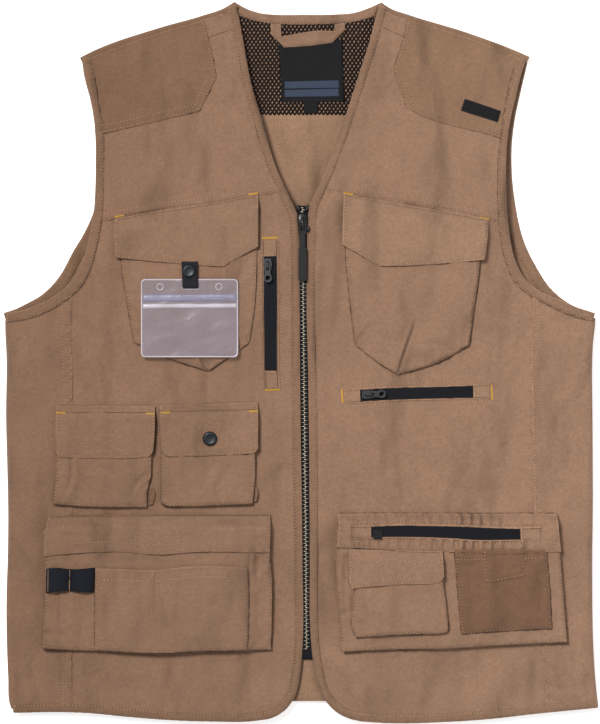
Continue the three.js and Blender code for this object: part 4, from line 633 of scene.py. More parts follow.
# ribbed tape: bands across the piece's own map, with noise
def ribbedFinish(name, colour, ribs, rough, amount):
    made, tree, shader = newFinish(name)
    place = node(tree, "UVMap", uv_map="cloth").outputs[0]
    bands = node(tree, "TexWave", {"Vector": place, "Scale": 0.314 / ribs * 1000, "Distortion": 0.4},
                 bands_direction="Y").outputs["Fac"]
    speck = noise(tree, node(tree, "TexCoord").outputs["Object"], 900.0, 2.0)
    value = mathNode(tree, "MULTIPLY", factor(tree, bands, amount), factor(tree, speck, 0.5))
    height = mathNode(tree, "MULTIPLY_ADD", speck, 0.4, bands)
    joinUp(tree, shader, value, linear(colour), bump(tree, height, 0.5, 0.0003),
           {"Roughness": rough, "Specular IOR Level": 0.25})
    return made


# soft clear sheet: mostly see-through, a little milky and lilac, glossy on top, with broad patches of more cover
# that are painted reflection
def clearFinish(name, colour, alpha, rough):
    made, tree, shader = newFinish(name)
    place = node(tree, "TexCoord").outputs["Object"]
    # cover in broad patches: the sheet's milkiness, and painted reflections of its wavy surface
    milkAndReflection = noise(tree, place, 14.0, 2.0, Distortion=1.2)
    see = mathNode(tree, "MULTIPLY_ADD", milkAndReflection, 0.9, alpha - 0.45)
    tree.links.new(see, shader.inputs["Alpha"])
    joinUp(tree, shader, factor(tree, noise(tree, place, 260.0, 4.0), 0.1), linear(colour),
           bump(tree, noise(tree, place, 45.0, 3.0), 0.6, 0.0022),
           {"Roughness": rough, "Specular IOR Level": 0.6})
    return made


# each cloth's tones at the wearer's right and left; the darker right is a painted falloff of light across the
# garment
shades = {
    "shell": ((121, 92, 73), (143, 112, 91)),
    "patch": ((106, 78, 59), (136, 106, 84)),
    "flap": ((118, 90, 71), (148, 117, 95)),
    "band": ((115, 87, 68), (136, 106, 85)),
    "dark": ((110, 81, 62), (114, 84, 65)),
    "inside": ((138, 108, 86), (139, 109, 87)),
}
finishes = {key: clothFinish(key + "Cloth", *pair) for key, pair in shades.items()}
# name and colour, then roughness and grain, tone, height, metal, specular and coat where they differ
plainRows = {
    "thread": ("tanThread", (170, 136, 107), 0.7, 1500.0),
    "yellow": ("yellowThread", (226, 178, 62), 0.55, 1500.0),
    # dark thread, also the colour of the dark lines laid as painted shadow beside edges, seams and zip lips
    "darkThreadAndShadowLines": ("darkThreadAndShadowLines", (70, 47, 34), 0.7, 1500.0),
    "paleThread": ("paleThread", (182, 148, 116), 0.7, 1500.0),
    "blackThread": ("blackThread", (34, 34, 42), 0.7, 1500.0),
    # the needle holes' dark brown is painted shade
    "needle": ("needleHoleShade", (52, 33, 23), 0.95, 900.0),
    "net": ("netKnit", (24, 20, 22), 0.85, 1400.0, 0.5, 0.3, 0.0, 0.12),
    # zip teeth: a metal tone set lighter than the dark teeth, a painted glint
    "teeth": ("zipTeeth", (158, 150, 138), 0.26, 500.0, 0.5, 0.2, 0.75, 0.6),
    "gunmetal": ("gunmetal", (66, 67, 69), 0.34, 420.0, 0.3, 0.15, 0.85, 0.5),
    "stud": ("blackStud", (30, 33, 38), 0.38, 600.0, 0.3, 0.1, 0.55, 0.5),
    "rubber": ("pullRubber", (11, 11, 13), 0.3, 500.0, 0.25, 0.2, 0.0, 0.4, 0.1),
}
# name and colour, width of a rib in millimetres, roughness and tone
ribbedRows = {
    "label": ("labelWeave", (9, 9, 14), 0.5, 0.55, 0.2),
    "greyBar": ("labelBars", (52, 62, 80), 0.5, 0.6, 0.15),
    "elastic": ("elasticRibs", (14, 16, 25), 1.6, 0.85, 0.5),
    "webbing": ("strapWeave", (20, 21, 27), 1.2, 0.75, 0.4),
    "zipTape": ("zipTape", (11, 12, 19), 0.9, 0.8, 0.4),
}
# name and colour, how much it covers, roughness
clearRows = {
    "clear": ("clearSheet", (154, 142, 150), 0.38, 0.24),
    "weld": ("weldedEdge", (216, 210, 220), 0.5, 0.2),
    "clearStrip": ("zipLockStrip", (150, 146, 170), 0.6, 0.26),
}
for make, table in ((plainFinish, plainRows), (ribbedFinish, ribbedRows), (clearFinish, clearRows)):
    finishes.update({key: make(*row) for key, row in table.items()})
print("finishes made: %d" % len(finishes))


# Back panel, neck pieces and net

backPanel = {
    "nodes": ["back_panel"], "slot": "shell", "finish": "inside", "onFront": False, "level": 1.2, "step": 5,
    "rumple": 0, "wall": 1.2, "restsOn": [],
    "sides": outline([(82, 60), (160.7, 31), (201.8, 19.3), (225.8, 11), (236.5, 4), (236.5, 4), (245, 11),
        (260.6, 16.2), (278, 17.8), (334, 17.5), (354.4, 15.7), (369.8, 10.6), (379.4, 5), (379.4, 5), (388, 11),
        (410, 19), (463.6, 35), (520, 56.5), (527.5, 59.5)], [(51, 712), (210, 711.5), (285, 702), (327, 701.5),
        (404, 711), (555, 710)], [(85, 76.5), (91, 99.5), (96, 138), (96, 187.5), (95, 207), (85.2, 231.7),
        (73.7, 251), (60.6, 275), (49.5, 291), (49.5, 291), (49, 420), (50, 560)], [(524.5, 70.8), (519, 95.7),
        (511.4, 141.6), (511.8, 180), (517.4, 218.8), (523.5, 241.2), (534.7, 264.7), (549.8, 288.5),
        (549.8, 288.5), (550.2, 560)]),
}
# between the fronts the back's hem stands up off the floor
backPanel["extra"] = lambda x, y, reach: 7.8 * np.exp(-(((x - 9) / 24) ** 2)) * ease((-262 - y) / 40)
lay("backPanel", backPanel)
sew([(258, 123.5), (350, 123.5)], thread="pale")
for height in (137, 153):
    sew([(279, height + 0.5), (335, height - 0.5)], thread="pale", pitch=2.8)
sew([(279, 137.5), (279, 153.5)], thread="pale")
sew([(30, 703), (210, 702.5), (285, 693), (327, 692), (404, 702), (560, 701)], thread="tan")

armBandsBack = {
    "armhole_band_back_right": [(3, 312.8), (12.8, 309.8), (25.5, 303.7), (38.3, 296.7), (51, 285.8), (59.6, 275),
                                (72.7, 251), (84.2, 231.7), (94, 207), (95, 187.5), (95.3, 162.6), (95, 138),
                                (93.4, 118.6), (90, 99.5), (84, 76.5), (81.5, 61)],
    "armhole_band_back_left": [(528, 61), (525.8, 70.8), (520, 95.7), (515.2, 118.6), (512.4, 141.6), (512, 164.5),
                               (512.8, 180), (516.2, 206.6), (518.4, 218.8), (524.5, 241.2), (535.7, 264.7),
                               (553.1, 290.2), (575.5, 306.5), (595.5, 313)],
}
for nodeName, path in armBandsBack.items():
    spec = {"nodes": [nodeName], "slot": "band", "onFront": False, "level": 1.6, "rumple": 0.15,
            "rise": [("sides", 2.5, 0.6)], "puckered": ("left", "right"), "pucker": 0.4}
    lay("armBandBack" + nodeName[18:].title(), spec, *ribbon(path, -11, 2.4))
    sew(path, -9.2)
    sew(path, -1.6)

neckBand = {
    "nodes": ["neck_band"], "slot": "shell", "onFront": False, "level": 2.3, "step": 2,
    "rise": [("edge", 3, 1.3)], "rumple": 0.15, "puckered": ("bottom",), "pucker": 0.25,
    "sides": outline([(235.5, 1.5), (245, 7), (260.6, 12.2), (278, 13.8), (303.4, 13.8), (334, 13.5),
        (354.4, 11.7), (369.8, 6.6), (380, 2)], [(237.5, 14.3), (252.4, 19.4), (272.8, 22.7), (303.4, 23.7),
        (334, 22.7), (354.4, 20.9), (376.5, 15.3)]),
}

netArea = {
    "top": [(234, 6), (252, 15.5), (273, 18.3), (303, 19), (334, 18.5), (355, 16), (381, 6)],
    "low": 114.2, "pitchX": 4.1, "pitchY": 3.05, "thick": 0.42, "high": 0.42, "level": 1.75, "steps": 26,
    "middle": (5, 300), "strands": 34, "reach": 110, "samples": 441, "sway": 0.22, "lift": 0.3,
    "left": [(234, 6), (241, 60), (251, 114)], "right": [(381, 6), (372, 60), (360, 114)],
}


# two families of parallel strands, one over the other, cut where they leave the net's area
def netLining(name, spec):
    top, left, right = (curve(spec[k]) for k in ("top", "left", "right"))
    lowY = photo["middleY"] - spec["low"]
    half = np.array([spec["pitchX"] / 2, spec["pitchY"]])
    points, faces, start = [], [], 0
    for lean in (1, -1):
        run = half * [lean, 1] / np.hypot(*half)
        across = np.array([run[1], -run[0]])
        gap = spec["pitchX"] * run[1]
        middle = np.array(spec["middle"])
        offsets = np.arange(-spec["strands"], spec["strands"] + 1) * gap
        t = np.linspace(-spec["reach"], spec["reach"], spec["samples"])
        net = middle + offsets[:, None, None] * across + t[None, :, None] * run
        x, y = net[..., 0], net[..., 1]
        inside = y < np.interp(x, top[:, 0], top[:, 1], left=-999, right=-999)
        inside &= (y > lowY) & (x > np.interp(-y, -left[:, 1], left[:, 0]))
        inside &= x < np.interp(-y, -right[:, 1], right[:, 0])
        kept = inside.sum(1) > 8
        first, last = inside.argmax(1)[kept], len(t) - 1 - inside[:, ::-1].argmax(1)[kept]
        share = np.linspace(0, 1, spec["steps"])
        at = t[first][:, None] + share * (t[last] - t[first])[:, None]
        line = middle + offsets[kept][:, None, None] * across + at[..., None] * run
        sway = spec["sway"] * np.sin(at * 2 * np.pi / np.hypot(*half) / 2 + offsets[kept][:, None])
        line = line + sway[..., None] * across
        z = np.full(at.shape, spec["level"] + spec["lift"] * (lean > 0))
        centre = np.concatenate([line, z[..., None]], -1)
        aside = np.array([*across, 0]) * spec["thick"] * 2
        up = np.array([0, 0, spec["high"]])
        ring = np.stack([centre - aside, centre + aside, centre + 0.6 * aside + up, centre - 0.6 * aside + up], 2)
        strands, steps = ring.shape[:2]
        points.append(ring.reshape(-1, 3))
        base = start + 4 * (np.arange(strands)[:, None] * steps + np.arange(steps - 1)[None])
        start += 4 * strands * steps
        for k in range(4):
            j = (k + 1) % 4
            faces.append(np.stack([base + k, base + j, base + 4 + j, base + 4 + k], -1).reshape(-1, 4))
        ends = start - 4 * strands * steps + 4 * steps * np.arange(strands)[:, None]
        faces.append(ends + np.array([3, 2, 1, 0]))
        faces.append(ends + 4 * (steps - 1) + np.array([0, 1, 2, 3]))
    piece = makeMesh(name, np.concatenate(points), faces)
    turnOutward(piece)
    return finish(piece, "net", ["mesh_lining"])


netLining("netLining", netArea)
for step in range(46):
    x = 254 + step * 2.05
    sew([(x, 113.2), (x + 1.2, 117.4)], thread="pale", pitch=4.2, share=0.95, holes=False, wide=0.5)
sew([(253, 117.8), (352, 117.8)], thread="pale", pitch=2.4, holes=False)
lay("neckBand", neckBand)
sew(neckBand["sides"]["bottom"], 1.3, thread="tan")


# a woven label: flat four-sided slab at its own level
def labelPiece(name, spec):
    x, y = fourSided(spec["sides"], 2)
    reach = reachOf(x, y)
    z = spec["level"] + spec.get("curl", 0) * rumple(x, y, 40, 5)
    if spec.get("onFront"):
        z = z + clothTop(x, y)
    noteHeights(x, y, z)
    piece = slab(name, np.stack([x, y, z], -1), 0.5, reach)
    return finish(piece, spec.get("finish", spec["slot"]), spec.get("nodes", ()))


neckLabel = {"nodes": ["neck_label"], "slot": "label", "level": 3.2, "curl": 0.25, "sides": outline([(278.4, 43.9),
    (342.2, 38.8)], [(282, 101), (344.2, 100.5)])}
sizeLabel = {"nodes": ["size_label"], "slot": "label", "level": 3.1, "sides": outline([(303.9, 101),
    (317.7, 100.8)], [(304.4, 112.2), (317.9, 112)])}
labelPiece("neckLabel", neckLabel)
labelPiece("sizeLabel", sizeLabel)
for index, y in enumerate((80.2, 88.6)):
    bar = {"slot": "label", "finish": "greyBar", "level": 3.75, "curl": 0.25, "sides": outline(
        [(284.6, y + 0.8), (338.6, y - 0.6)], [(284.9, y + 7.6), (339.4, y + 6.8)])}
    labelPiece("labelBar%d" % (index + 1), bar)

hangLoop = {
    "nodes": ["hang_loop"], "slot": "shell", "onFront": False, "level": 4.3, "step": 1.8,
    "rise": [("edge", 2.2, 0.8)], "rumple": 0.25, "wave": 30,
    "sides": outline([(270.8, 22.6), (281.2, 23.6), (281.2, 23.6), (281, 35.5), (281, 35.5), (323.8, 29.8),
        (334.4, 30.4), (334.4, 30.4), (334.6, 23.2), (334.6, 23.2), (345, 22)], [(270.8, 33), (270.8, 33),
        (284, 46.7), (284, 46.7), (308, 45.2), (333, 41.8), (333, 41.8), (345, 29)]),
}
lay("hangLoop", hangLoop)
print("back and neck laid")


# Fronts, yokes and side panels

fronts = {
    "Right": {
        "panel": outline([(99.5, 218), (162.6, 206), (199, 202), (281, 188.5)], [(69.5, 707.5), (128, 713),
            (213, 716.4), (262, 714.4), (276, 710), (288, 699.5)], [(96.5, 239), (93.7, 251), (86, 275),
            (79.6, 286.5), (69.5, 296), (69.5, 296), (68.5, 330), (70, 366), (70.5, 397), (69.5, 560)],
            [(289, 205), (293, 218), (294.3, 240), (293.8, 319), (294.8, 409), (296.6, 560), (296.8, 652),
            (296, 670), (293.5, 687)]),
        "yoke": outline([(84.5, 58.5), (161, 31.2), (202.5, 19.5), (226.5, 11.2), (234.5, 6)], [(99.5, 221.4),
            (162.6, 209.5), (199, 205.7), (282, 191.4)], [(93.5, 82), (97.3, 107), (101.1, 133), (101.3, 172)],
            [(234.5, 22), (236.6, 47.8), (243.2, 80), (250.9, 107), (259.5, 143.5), (278.7, 184.6)]),
        "patch": outline([(88.5, 57.6), (161, 31.8), (203.5, 19.9)], [(102.8, 133.6), (162.6, 119.6),
            (199.4, 110.6), (199.4, 110.6), (216.2, 77.5)], [(96, 82), (99.9, 107)], [(207.6, 37.3),
            (212.4, 57.4)]),
        "yokeFolds": [
            (7, 0.9, 0.4, [(262, 172), (232, 168), (196, 176)]),
            (9, 0.8, 0.3, [(112, 190), (140, 160), (182, 148)]),
            (3, 0.9, 0.5, [(226, 14), (222, 24), (228, 34)]),
        ],
        "panelFolds": [
            (4, 0.8, 0.4, [(263, 240), (284, 236)]),
            (6, 1.1, 0.6, [(293, 395), (272, 402), (262, 424)]),
            (7, 1.0, 0.4, [(292, 470), (270, 480)]),
            (12, 1.0, 0.4, [(60, 660), (130, 690), (210, 684)]),
            (6, 1.1, 0.5, [(74, 318), (92, 340), (100, 372)]),
        ],
    },
    "Left": {
        "panel": outline([(325, 187.5), (434, 204.5), (502, 220)], [(332.5, 704.5), (344, 711.5), (366, 718),
            (449, 716.6), (534, 709), (550, 707)], [(316.5, 207), (313, 220), (311.9, 245), (311.6, 280),
            (312.8, 319), (315, 390), (315.6, 518), (316.5, 623), (317.6, 654), (319.8, 676), (325, 691.5)],
            [(504, 231), (508, 261.6), (517, 282), (535, 297.5), (535, 297.5), (534.2, 367.5), (535.6, 445),
            (536.8, 505), (543.8, 645.6), (547, 677.6)]),
        "yoke": outline([(380.5, 6.5), (386.5, 11.2), (409, 19.3), (462.3, 35.2), (518.5, 56.7), (525, 59)],
            [(322.5, 190.6), (434, 207.6), (501.5, 223)], [(380, 28), (371.5, 51), (363.4, 80), (348.2, 129.6),
            (323.8, 188)], [(516.5, 69), (509.6, 95.7), (503.8, 132), (500, 164.5), (500, 191)]),
        "patch": outline([(408.5, 19.6), (462.3, 35.6), (520, 57.8)], [(393.8, 69), (407, 107), (407, 107),
            (411, 109.4), (500.9, 137.6)], [(404.3, 36.4)], [(507.8, 95.7)]),
        "yokeFolds": [
            (7, 0.8, 0.3, [(352, 160), (386, 158), (420, 172)]),
            (9, 0.8, 0.3, [(490, 190), (458, 168), (424, 160)]),
            (3, 0.8, 0.4, [(386, 14), (392, 26)]),
        ],
        "panelFolds": [
            (7, 1.1, 0.5, [(330, 222), (334, 250), (328, 282)]),
            (4, 1.0, 0.6, [(498, 386), (516, 380), (528, 372)]),
            (4, 0.8, 0.4, [(497, 395), (520, 398)]),
            (8, 0.9, 0.4, [(344, 412), (380, 420), (430, 416)]),
            (6, 1.2, 0.6, [(316, 560), (330, 540), (338, 520)]),
            (9, 1.1, 0.6, [(450, 656), (470, 680), (452, 706)]),
        ],
    },
}

sidePanels = {
    "Right": {
        "sign": -1, "seam": [(72, 290), (70.6, 344), (72, 366), (72.2, 397), (71.2, 560), (71.4, 712)],
        "fold": [(4.6, 300), (4.8, 335), (5.7, 352), (5.4, 419), (6.8, 475), (7.5, 518), (7, 560), (6, 592),
                 (7.5, 677.6), (9.2, 705), (12.8, 715)],
        "armFront": [(72, 293.5), (52.9, 306.5), (38.3, 313), (19.1, 318.3), (2, 320.5)],
        "armBack": [(60, 284), (51, 294.8), (38.3, 305.7), (25.5, 312.7), (12.8, 317), (2, 320.5)],
        "hem": [(72, 708), (9, 708.5)], "backHem": [(60, 711), (4, 710)],
    },
    "Left": {
        "sign": 1, "seam": [(533, 290), (531.9, 367.5), (533.3, 445), (534.5, 505), (541.5, 645.6), (544.7, 677.6),
                            (547.8, 712)],
        "fold": [(596.2, 300), (595.6, 325), (593.9, 340), (592.7, 371), (593, 409.6), (593.5, 496.5),
                 (592.9, 581.7), (594, 645.6), (595.7, 675.4), (599.3, 712)],
        "armFront": [(533, 295.5), (549, 303), (571.4, 313.2), (597, 319)],
        "armBack": [(540, 282), (553.1, 299.2), (575.5, 314), (597, 319)],
        "hem": [(547, 706.5), (600, 704.8)], "backHem": [(545, 709), (600, 705)],
    },
}


# how a side panel turns under: rows and columns of its grid, and in millimetres how far it runs on
# below the garment, the run and turn of the plan that its upper and lower edges are read from,
# the heights on the garment at which that plan takes the fold and the seam, and the lap over the seam
tuck = {
    "rows": 190, "flat": 26, "bend": 10, "under": 16, "below": 48.0, "planBelow": 41.0, "planTurn": 7,
    "tipY": 32.0, "seamY": 60.0, "lap": 0.9,
}


# height of an edge line at given places across
def edgeY(points, x):
    line = curve(points)
    order = line[:, 0].argsort()
    return np.interp(x, line[order, 0], line[order, 1])


# cloth from the side seam to the fold, a half round there, and back along the floor:
# the section follows its own length while each row keeps to the fold's place at that height
def sidePanel(name, spec):
    sign, planTurn = spec["sign"], tuck["planTurn"]
    seam, fold = curve(spec["seam"]), curve(spec["fold"])
    seamAt = lambda y: np.interp(-y, -seam[:, 1], seam[:, 0])
    foldAt = lambda y: np.interp(-y, -fold[:, 1], fold[:, 0])
    bend, under = np.linspace(0, 1, tuck["bend"])[1:], np.linspace(0, 1, tuck["under"])[1:]
    share = np.concatenate([np.linspace(0, 1, tuck["flat"]), 1 + bend, 2 + under])
    front, turn, back = np.clip(share, 0, 1), np.clip(share - 1, 0, 1), np.clip(share - 2, 0, 1)
    v = np.linspace(0, 1, tuck["rows"])[:, None]
    tipX = foldAt(np.array([tuck["tipY"]]))[0]
    startX = seamAt(np.array([tuck["seamY"]]))[0]
    planX = startX + front * (tipX - sign * planTurn - startX)
    planX = planX + sign * planTurn * np.sin(np.pi / 2 * np.clip(2 * turn, 0, 1))
    planX = planX - sign * planTurn * ease(np.clip(2 * turn - 1, 0, 1)) - sign * tuck["planBelow"] * back
    blendIn = ease((share - 1.2) / 0.6)
    topY = edgeY(spec["armFront"], planX) * (1 - blendIn) + edgeY(spec["armBack"], planX) * blendIn
    hemY = edgeY(spec["hem"], planX) * (1 - blendIn) + edgeY(spec["backHem"], planX) * blendIn
    y = topY[None] + v * (hemY - topY)[None]
    seamX, foldX = seamAt(y), foldAt(y)
    radius = clothTop(foldX, y) / 2
    turnX = foldX - sign * radius
    angle = np.pi * turn[None]
    x = seamX + front[None] * (turnX - seamX) + sign * radius * np.sin(angle)
    x = x - sign * (tuck["below"] - radius) * back[None]
    z = np.where(share[None] < 1, clothTop(x, y), radius + radius * np.cos(angle))
    reach = reachOf(x, y)
    seamLap = tuck["lap"] * np.exp(-((front[None] * np.abs(turnX - seamX) / 8) ** 4))
    z = z + seamLap * (front[None] < 0.9)
    z += puckers(reach, ("left",), 1.3, 11, 9, 21 + sign) * (share[None] < 0.95)
    swell = 1.7 * rumple(x, y, 58, 31 + sign) + 0.6 * rumple(x, y, 20, 37 + sign)
    z += swell * ease(reach["edge"] / 14) * ease((1.0 - share[None]) * 3)
    for crossing in spec["folds"]:
        z += crease(x, y, *crossing) * (share[None] < 0.9)
    z = np.where(share[None] > 2, 0.0, z)
    net = np.stack([x, y, z], -1)
    net = net if sign > 0 else net[:, ::-1]
    width = np.sqrt(np.diff(net[..., 0], axis=1) ** 2 + np.diff(net[..., 2], axis=1) ** 2)
    reach["left"] = np.pad(np.cumsum(width, axis=1), ((0, 0), (1, 0)))
    reach["right"] = reach["left"][:, -1:] - reach["left"]
    reach["edge"] = np.minimum(np.minimum(reach["left"], reach["right"]), np.minimum(reach["top"], reach["bottom"]))
    piece = slab(name, net, lie["wall"], reach)
    flatPart = share < 1.35
    noteHeights(x[:, flatPart], y[:, flatPart], z[:, flatPart])
    finish(piece, "shell", ["side_panel_" + name[9:].lower()])
    return piece


for side, spec in fronts.items():
    panel = {"nodes": ["front_panel_" + side.lower()], "slot": "shell", "sides": spec["panel"],
             "rumple": 2.0, "wave": 80, "folds": spec["panelFolds"], "step": 2.4}
    lay("frontPanel" + side, panel)
sidePanels["Right"]["folds"] = [(7, 1.0, 0.4, [(66, 372), (40, 352), (14, 344)])]
sidePanels["Left"]["folds"] = [
    (5, 1.2, 0.8, [(596, 322), (574, 318), (552, 322)]),
    (5, 0.9, 0.5, [(592, 332), (570, 330), (548, 338)]),
]
for side, spec in sidePanels.items():
    sidePanel("sidePanel" + side, spec)
seamRight = [(71.4, 299), (69.5, 320.6), (70.3, 344), (71.8, 366), (72.2, 397), (71.2, 560), (71.4, 704)]
seamLeft = [(533, 299), (532.2, 367.5), (533.6, 445), (534.8, 505), (541.8, 645.6), (545, 677.6), (548, 704)]
sew(seamRight, -1.2)
sew(seamRight, -8.2)
sew(seamLeft, 1.2)
sew(seamLeft, 8.4)

for side, spec in fronts.items():
    low = side.lower()
    yoke = {"nodes": ["front_yoke_" + low], "slot": "shell", "sides": spec["yoke"], "level": 0.7,
            "rumple": 0.8, "wave": 70, "folds": spec["yokeFolds"], "puckered": ("bottom",), "pucker": 0.5,
            "ripple": 10, "wall": 1.5}
    lay("yoke" + side, yoke)
    sewSides(yoke, ["bottom"], 1.6, thread="dark", holes=False, pitch=4)
    sewSides(yoke, ["bottom"], 6.6)
    patch = {"nodes": ["shoulder_patch_" + low], "slot": "patch", "sides": spec["patch"],
             "level": 1.9, "rumple": 0.35, "puckered": ("bottom", "left", "right"), "pucker": 0.3, "wall": 1.4}
    lay("shoulderPatch" + side, patch)
    inner = "right" if side == "Right" else "left"
    sewSides(patch, ["bottom", inner], 1.8)
    sewSides(patch, ["bottom"], 7.5)

shoulderSeams = {"Right": [(207.6, 37.3), (232.5, 28.7)], "Left": [(382.5, 26.8), (404.3, 36.4)]}
# an unbroken dark line along each shoulder seam: painted shade in the seam
for path in shoulderSeams.values():
    sew(path, 0, thread="dark", pitch=2, share=1.05, holes=False, wide=1.1)

# Shoulder folds: half rounds carried along the shoulder line
shoulderFolds = {
    "Right": [(81, 59.5), (87.6, 56), (160.7, 29.6), (201.8, 18), (225.8, 9.6), (236, 3.4)],
    "Left": [(379.8, 3.8), (388, 9.4), (410, 17.4), (463.6, 33.7), (520, 54.8), (528.6, 58.6)],
}
for side, path in shoulderFolds.items():
    line = evenly(curve(path), 90)
    run = np.gradient(line, axis=0)
    run /= np.hypot(*run.T)[:, None]
    up = np.stack([-run[:, 1], run[:, 0]], 1)
    angle = np.linspace(-0.25, 1, 13) * np.pi
    high = lie["shoulderRise"] + lie["wall"] + 0.9
    out = np.where(angle < 0, -4.5 * np.abs(angle), 3.1 * np.sin(angle))
    lift = np.where(angle < 0, high + 0.2 * np.abs(angle), high / 2 + high / 2 * np.cos(angle))
    lifted = np.tile(lift[None, :, None], (len(line), 1, 1))
    net = np.concatenate([line[:, None] + out[None, :, None] * up[:, None], lifted], -1)
    net = np.swapaxes(net, 0, 1)[::-1]
    piece = slab("shoulderFold" + side, net, 1.2, reachOf(net[..., 0], net[..., 1] + net[..., 2]))
    finish(piece, "patch", ["shoulder_fold_" + side.lower()])
print("fronts, yokes and sides laid")

# Edge bands of the fronts and armholes

armBands = {
    "Right": outline([(81.5, 58), (88.6, 55.6)], [(7, 313.2), (7, 322.2)], [(85, 76.5), (91, 99.5),
        (94.2, 118.6), (95.6, 138), (95.8, 162.6), (95.4, 187.5), (94.3, 207), (91.5, 226), (86, 251), (77, 275),
        (70.2, 284), (61, 291), (53, 296.7), (39.5, 304.3), (25.5, 309.4)], [(95.7, 82), (99.5, 107),
        (103.3, 133), (103.3, 172), (101.4, 221), (98.5, 239), (95.7, 251), (88, 275), (81.6, 286.5),
        (70.2, 297), (52.9, 308.8), (38.3, 315.5), (19.1, 320.6)]),
    "Left": outline([(519.5, 56.2), (526.5, 58.5)], [(592, 320.8), (592.5, 312.4)], [(514.3, 69), (507.6, 95.7),
        (501.8, 132), (498, 164.5), (498, 191), (500, 229.6), (506, 261.6), (515.3, 282), (531.6, 296.3),
        (549, 305.5), (571.4, 315.7)], [(522, 72), (516, 95.7), (510.5, 118.6), (507, 141.6), (506, 164.5),
        (506, 190), (508.2, 224), (515.3, 260.6), (526.5, 281), (540.8, 291.7), (561.2, 300.4), (577.6, 307.6)]),
}
for side, sides in armBands.items():
    seamSide = side.lower()
    spec = {"nodes": ["armhole_band_front_" + side.lower()], "slot": "band", "sides": sides,
            "level": 1.0, "rise": [("sides", 2.6, 1.1)], "rumple": 0.2, "puckered": (seamSide,), "pucker": 0.95,
            "ripple": 10, "step": 1.6, "wall": 1.6}
    lay("armBand" + side, spec)
    sewSides(spec, [seamSide], 1.5)

edgeBands = {
    "Right": [(235.6, 4.5), (238, 14), (242, 34), (246, 57), (250.4, 80), (256.5, 102), (264, 127), (268.5, 145),
              (277.4, 171), (287, 191), (293.7, 205.6), (297.8, 216.6), (299.2, 232), (299.5, 278), (300.2, 400),
              (302.3, 560), (302.3, 649), (300.7, 669.8), (298, 685.5), (292.8, 700.2), (285.5, 709.6),
              (273, 717.5), (255.6, 720.8), (213, 721.6), (170, 720.2), (128, 717), (85, 713), (64, 712.3),
              (13.5, 713)],
    "Left": [(379.2, 4.5), (376, 17), (369.8, 40.8), (361.6, 66.3), (352.4, 95), (342, 127), (336, 143.6),
             (325, 172), (314.5, 195), (310.7, 203), (308.6, 212), (307.4, 222), (307, 245), (306.6, 294),
             (308.6, 390), (310, 560), (310.6, 633), (312.2, 654), (315.3, 674), (319.5, 689), (325.3, 700.2),
             (334.5, 710.6), (345, 716.8), (357, 720.6), (376, 722.5), (449, 721.9), (491.7, 719), (534.3, 714.2),
             (576.9, 710), (597.8, 708)],
}
for side, path in edgeBands.items():
    across = -7.9 if side == "Right" else 7.9
    spec = {"nodes": ["front_band_" + side.lower()], "slot": "band", "level": 0.9,
            "rise": [("sides", 2.4, 1.0)], "rumple": 0.25, "pucker": 0.55, "ripple": 10,
            "puckered": ("left",) if side == "Right" else ("right",),
            "wall": 1.8}
    lay("edgeBand" + side, spec, *ribbon(path, across, 2.0))
    sew(path, across * 0.86)
print("bands laid")

# Main zip

mainZip = {
    "centre": [(302.6, 203), (302.8, 232), (303.2, 290), (304.3, 400), (306, 560), (306.6, 652)],
    "tapeLevel": -1.5, "pitch": 3.9, "first": 208, "last": 650, "toothLow": -1.4,
    "sections": [(-3.3, 0.62, 0.3), (-1.3, 0.6, 0.75), (0.2, 0.95, 1.0), (0.95, 0.7, 0.55)], "toothHigh": 2.7,
}


# teeth from both sides in turn: six-sided sections carried from the tape to the tip, wider at the head
def zipTeeth(name, spec):
    line = curve(spec["centre"])
    points, faces = [], []
    for sign in (-1, 1):
        y = photo["middleY"] - np.arange(spec["first"] + (sign > 0) * spec["pitch"] / 2, spec["last"], spec["pitch"])
        x = np.interp(-y, -line[:, 1], line[:, 0])
        z = clothTop(x, y) + spec["toothLow"]
        rows = []
        for out, half, high in spec["sections"]:
            top = spec["toothHigh"] * (0.55 + 0.45 * high)
            ring = [(-half, 0), (-half, top * 0.7), (-half * 0.45, top), (half * 0.45, top), (half, top * 0.7),
                    (half, 0)]
            rows.append([(-sign * out, aside, up) for aside, up in ring])
        place = np.stack([x, y, z], 1)[:, None, None] + np.array(rows)[None]
        start = sum(len(p) for p in points)
        points.append(place.reshape(-1, 3))
        base = start + 24 * np.arange(len(x))[:, None]
        quads = spansRound(3, 6)
        quads = quads if sign < 0 else quads[:, ::-1]
        caps = np.array([(5, 4, 3, 2, 1, 0), (18, 19, 20, 21, 22, 23)])
        caps = caps if sign < 0 else caps[:, ::-1]
        faces.append((base[:, :, None] + quads[None]).reshape(-1, 4))
        faces.append((base[:, :, None] + caps[None]).reshape(-1, 6))
    piece = makeMesh(name, np.concatenate(points), faces)
    turnOutward(piece)
    return finish(piece, "teeth", ())


tape = {"nodes": ["main_zip"], "slot": "main_zip", "finish": "zipTape", "level": mainZip["tapeLevel"], "rumple": 0,
        "wall": 0.9, "restsOn": ["backPanel"]}
tape["sides"] = outline([(297.4, 206), (307.8, 206)], [(291.5, 659), (321.5, 659)], [(296.4, 214), (293, 226),
    (288.4, 250), (288.4, 290), (289.5, 400), (291, 560)], [(309, 214), (312.4, 226), (317.4, 250), (318, 290),
    (319.2, 400), (321, 560)])
lay("mainZipTape", tape)
zipTeeth("mainZipTeeth", mainZip)


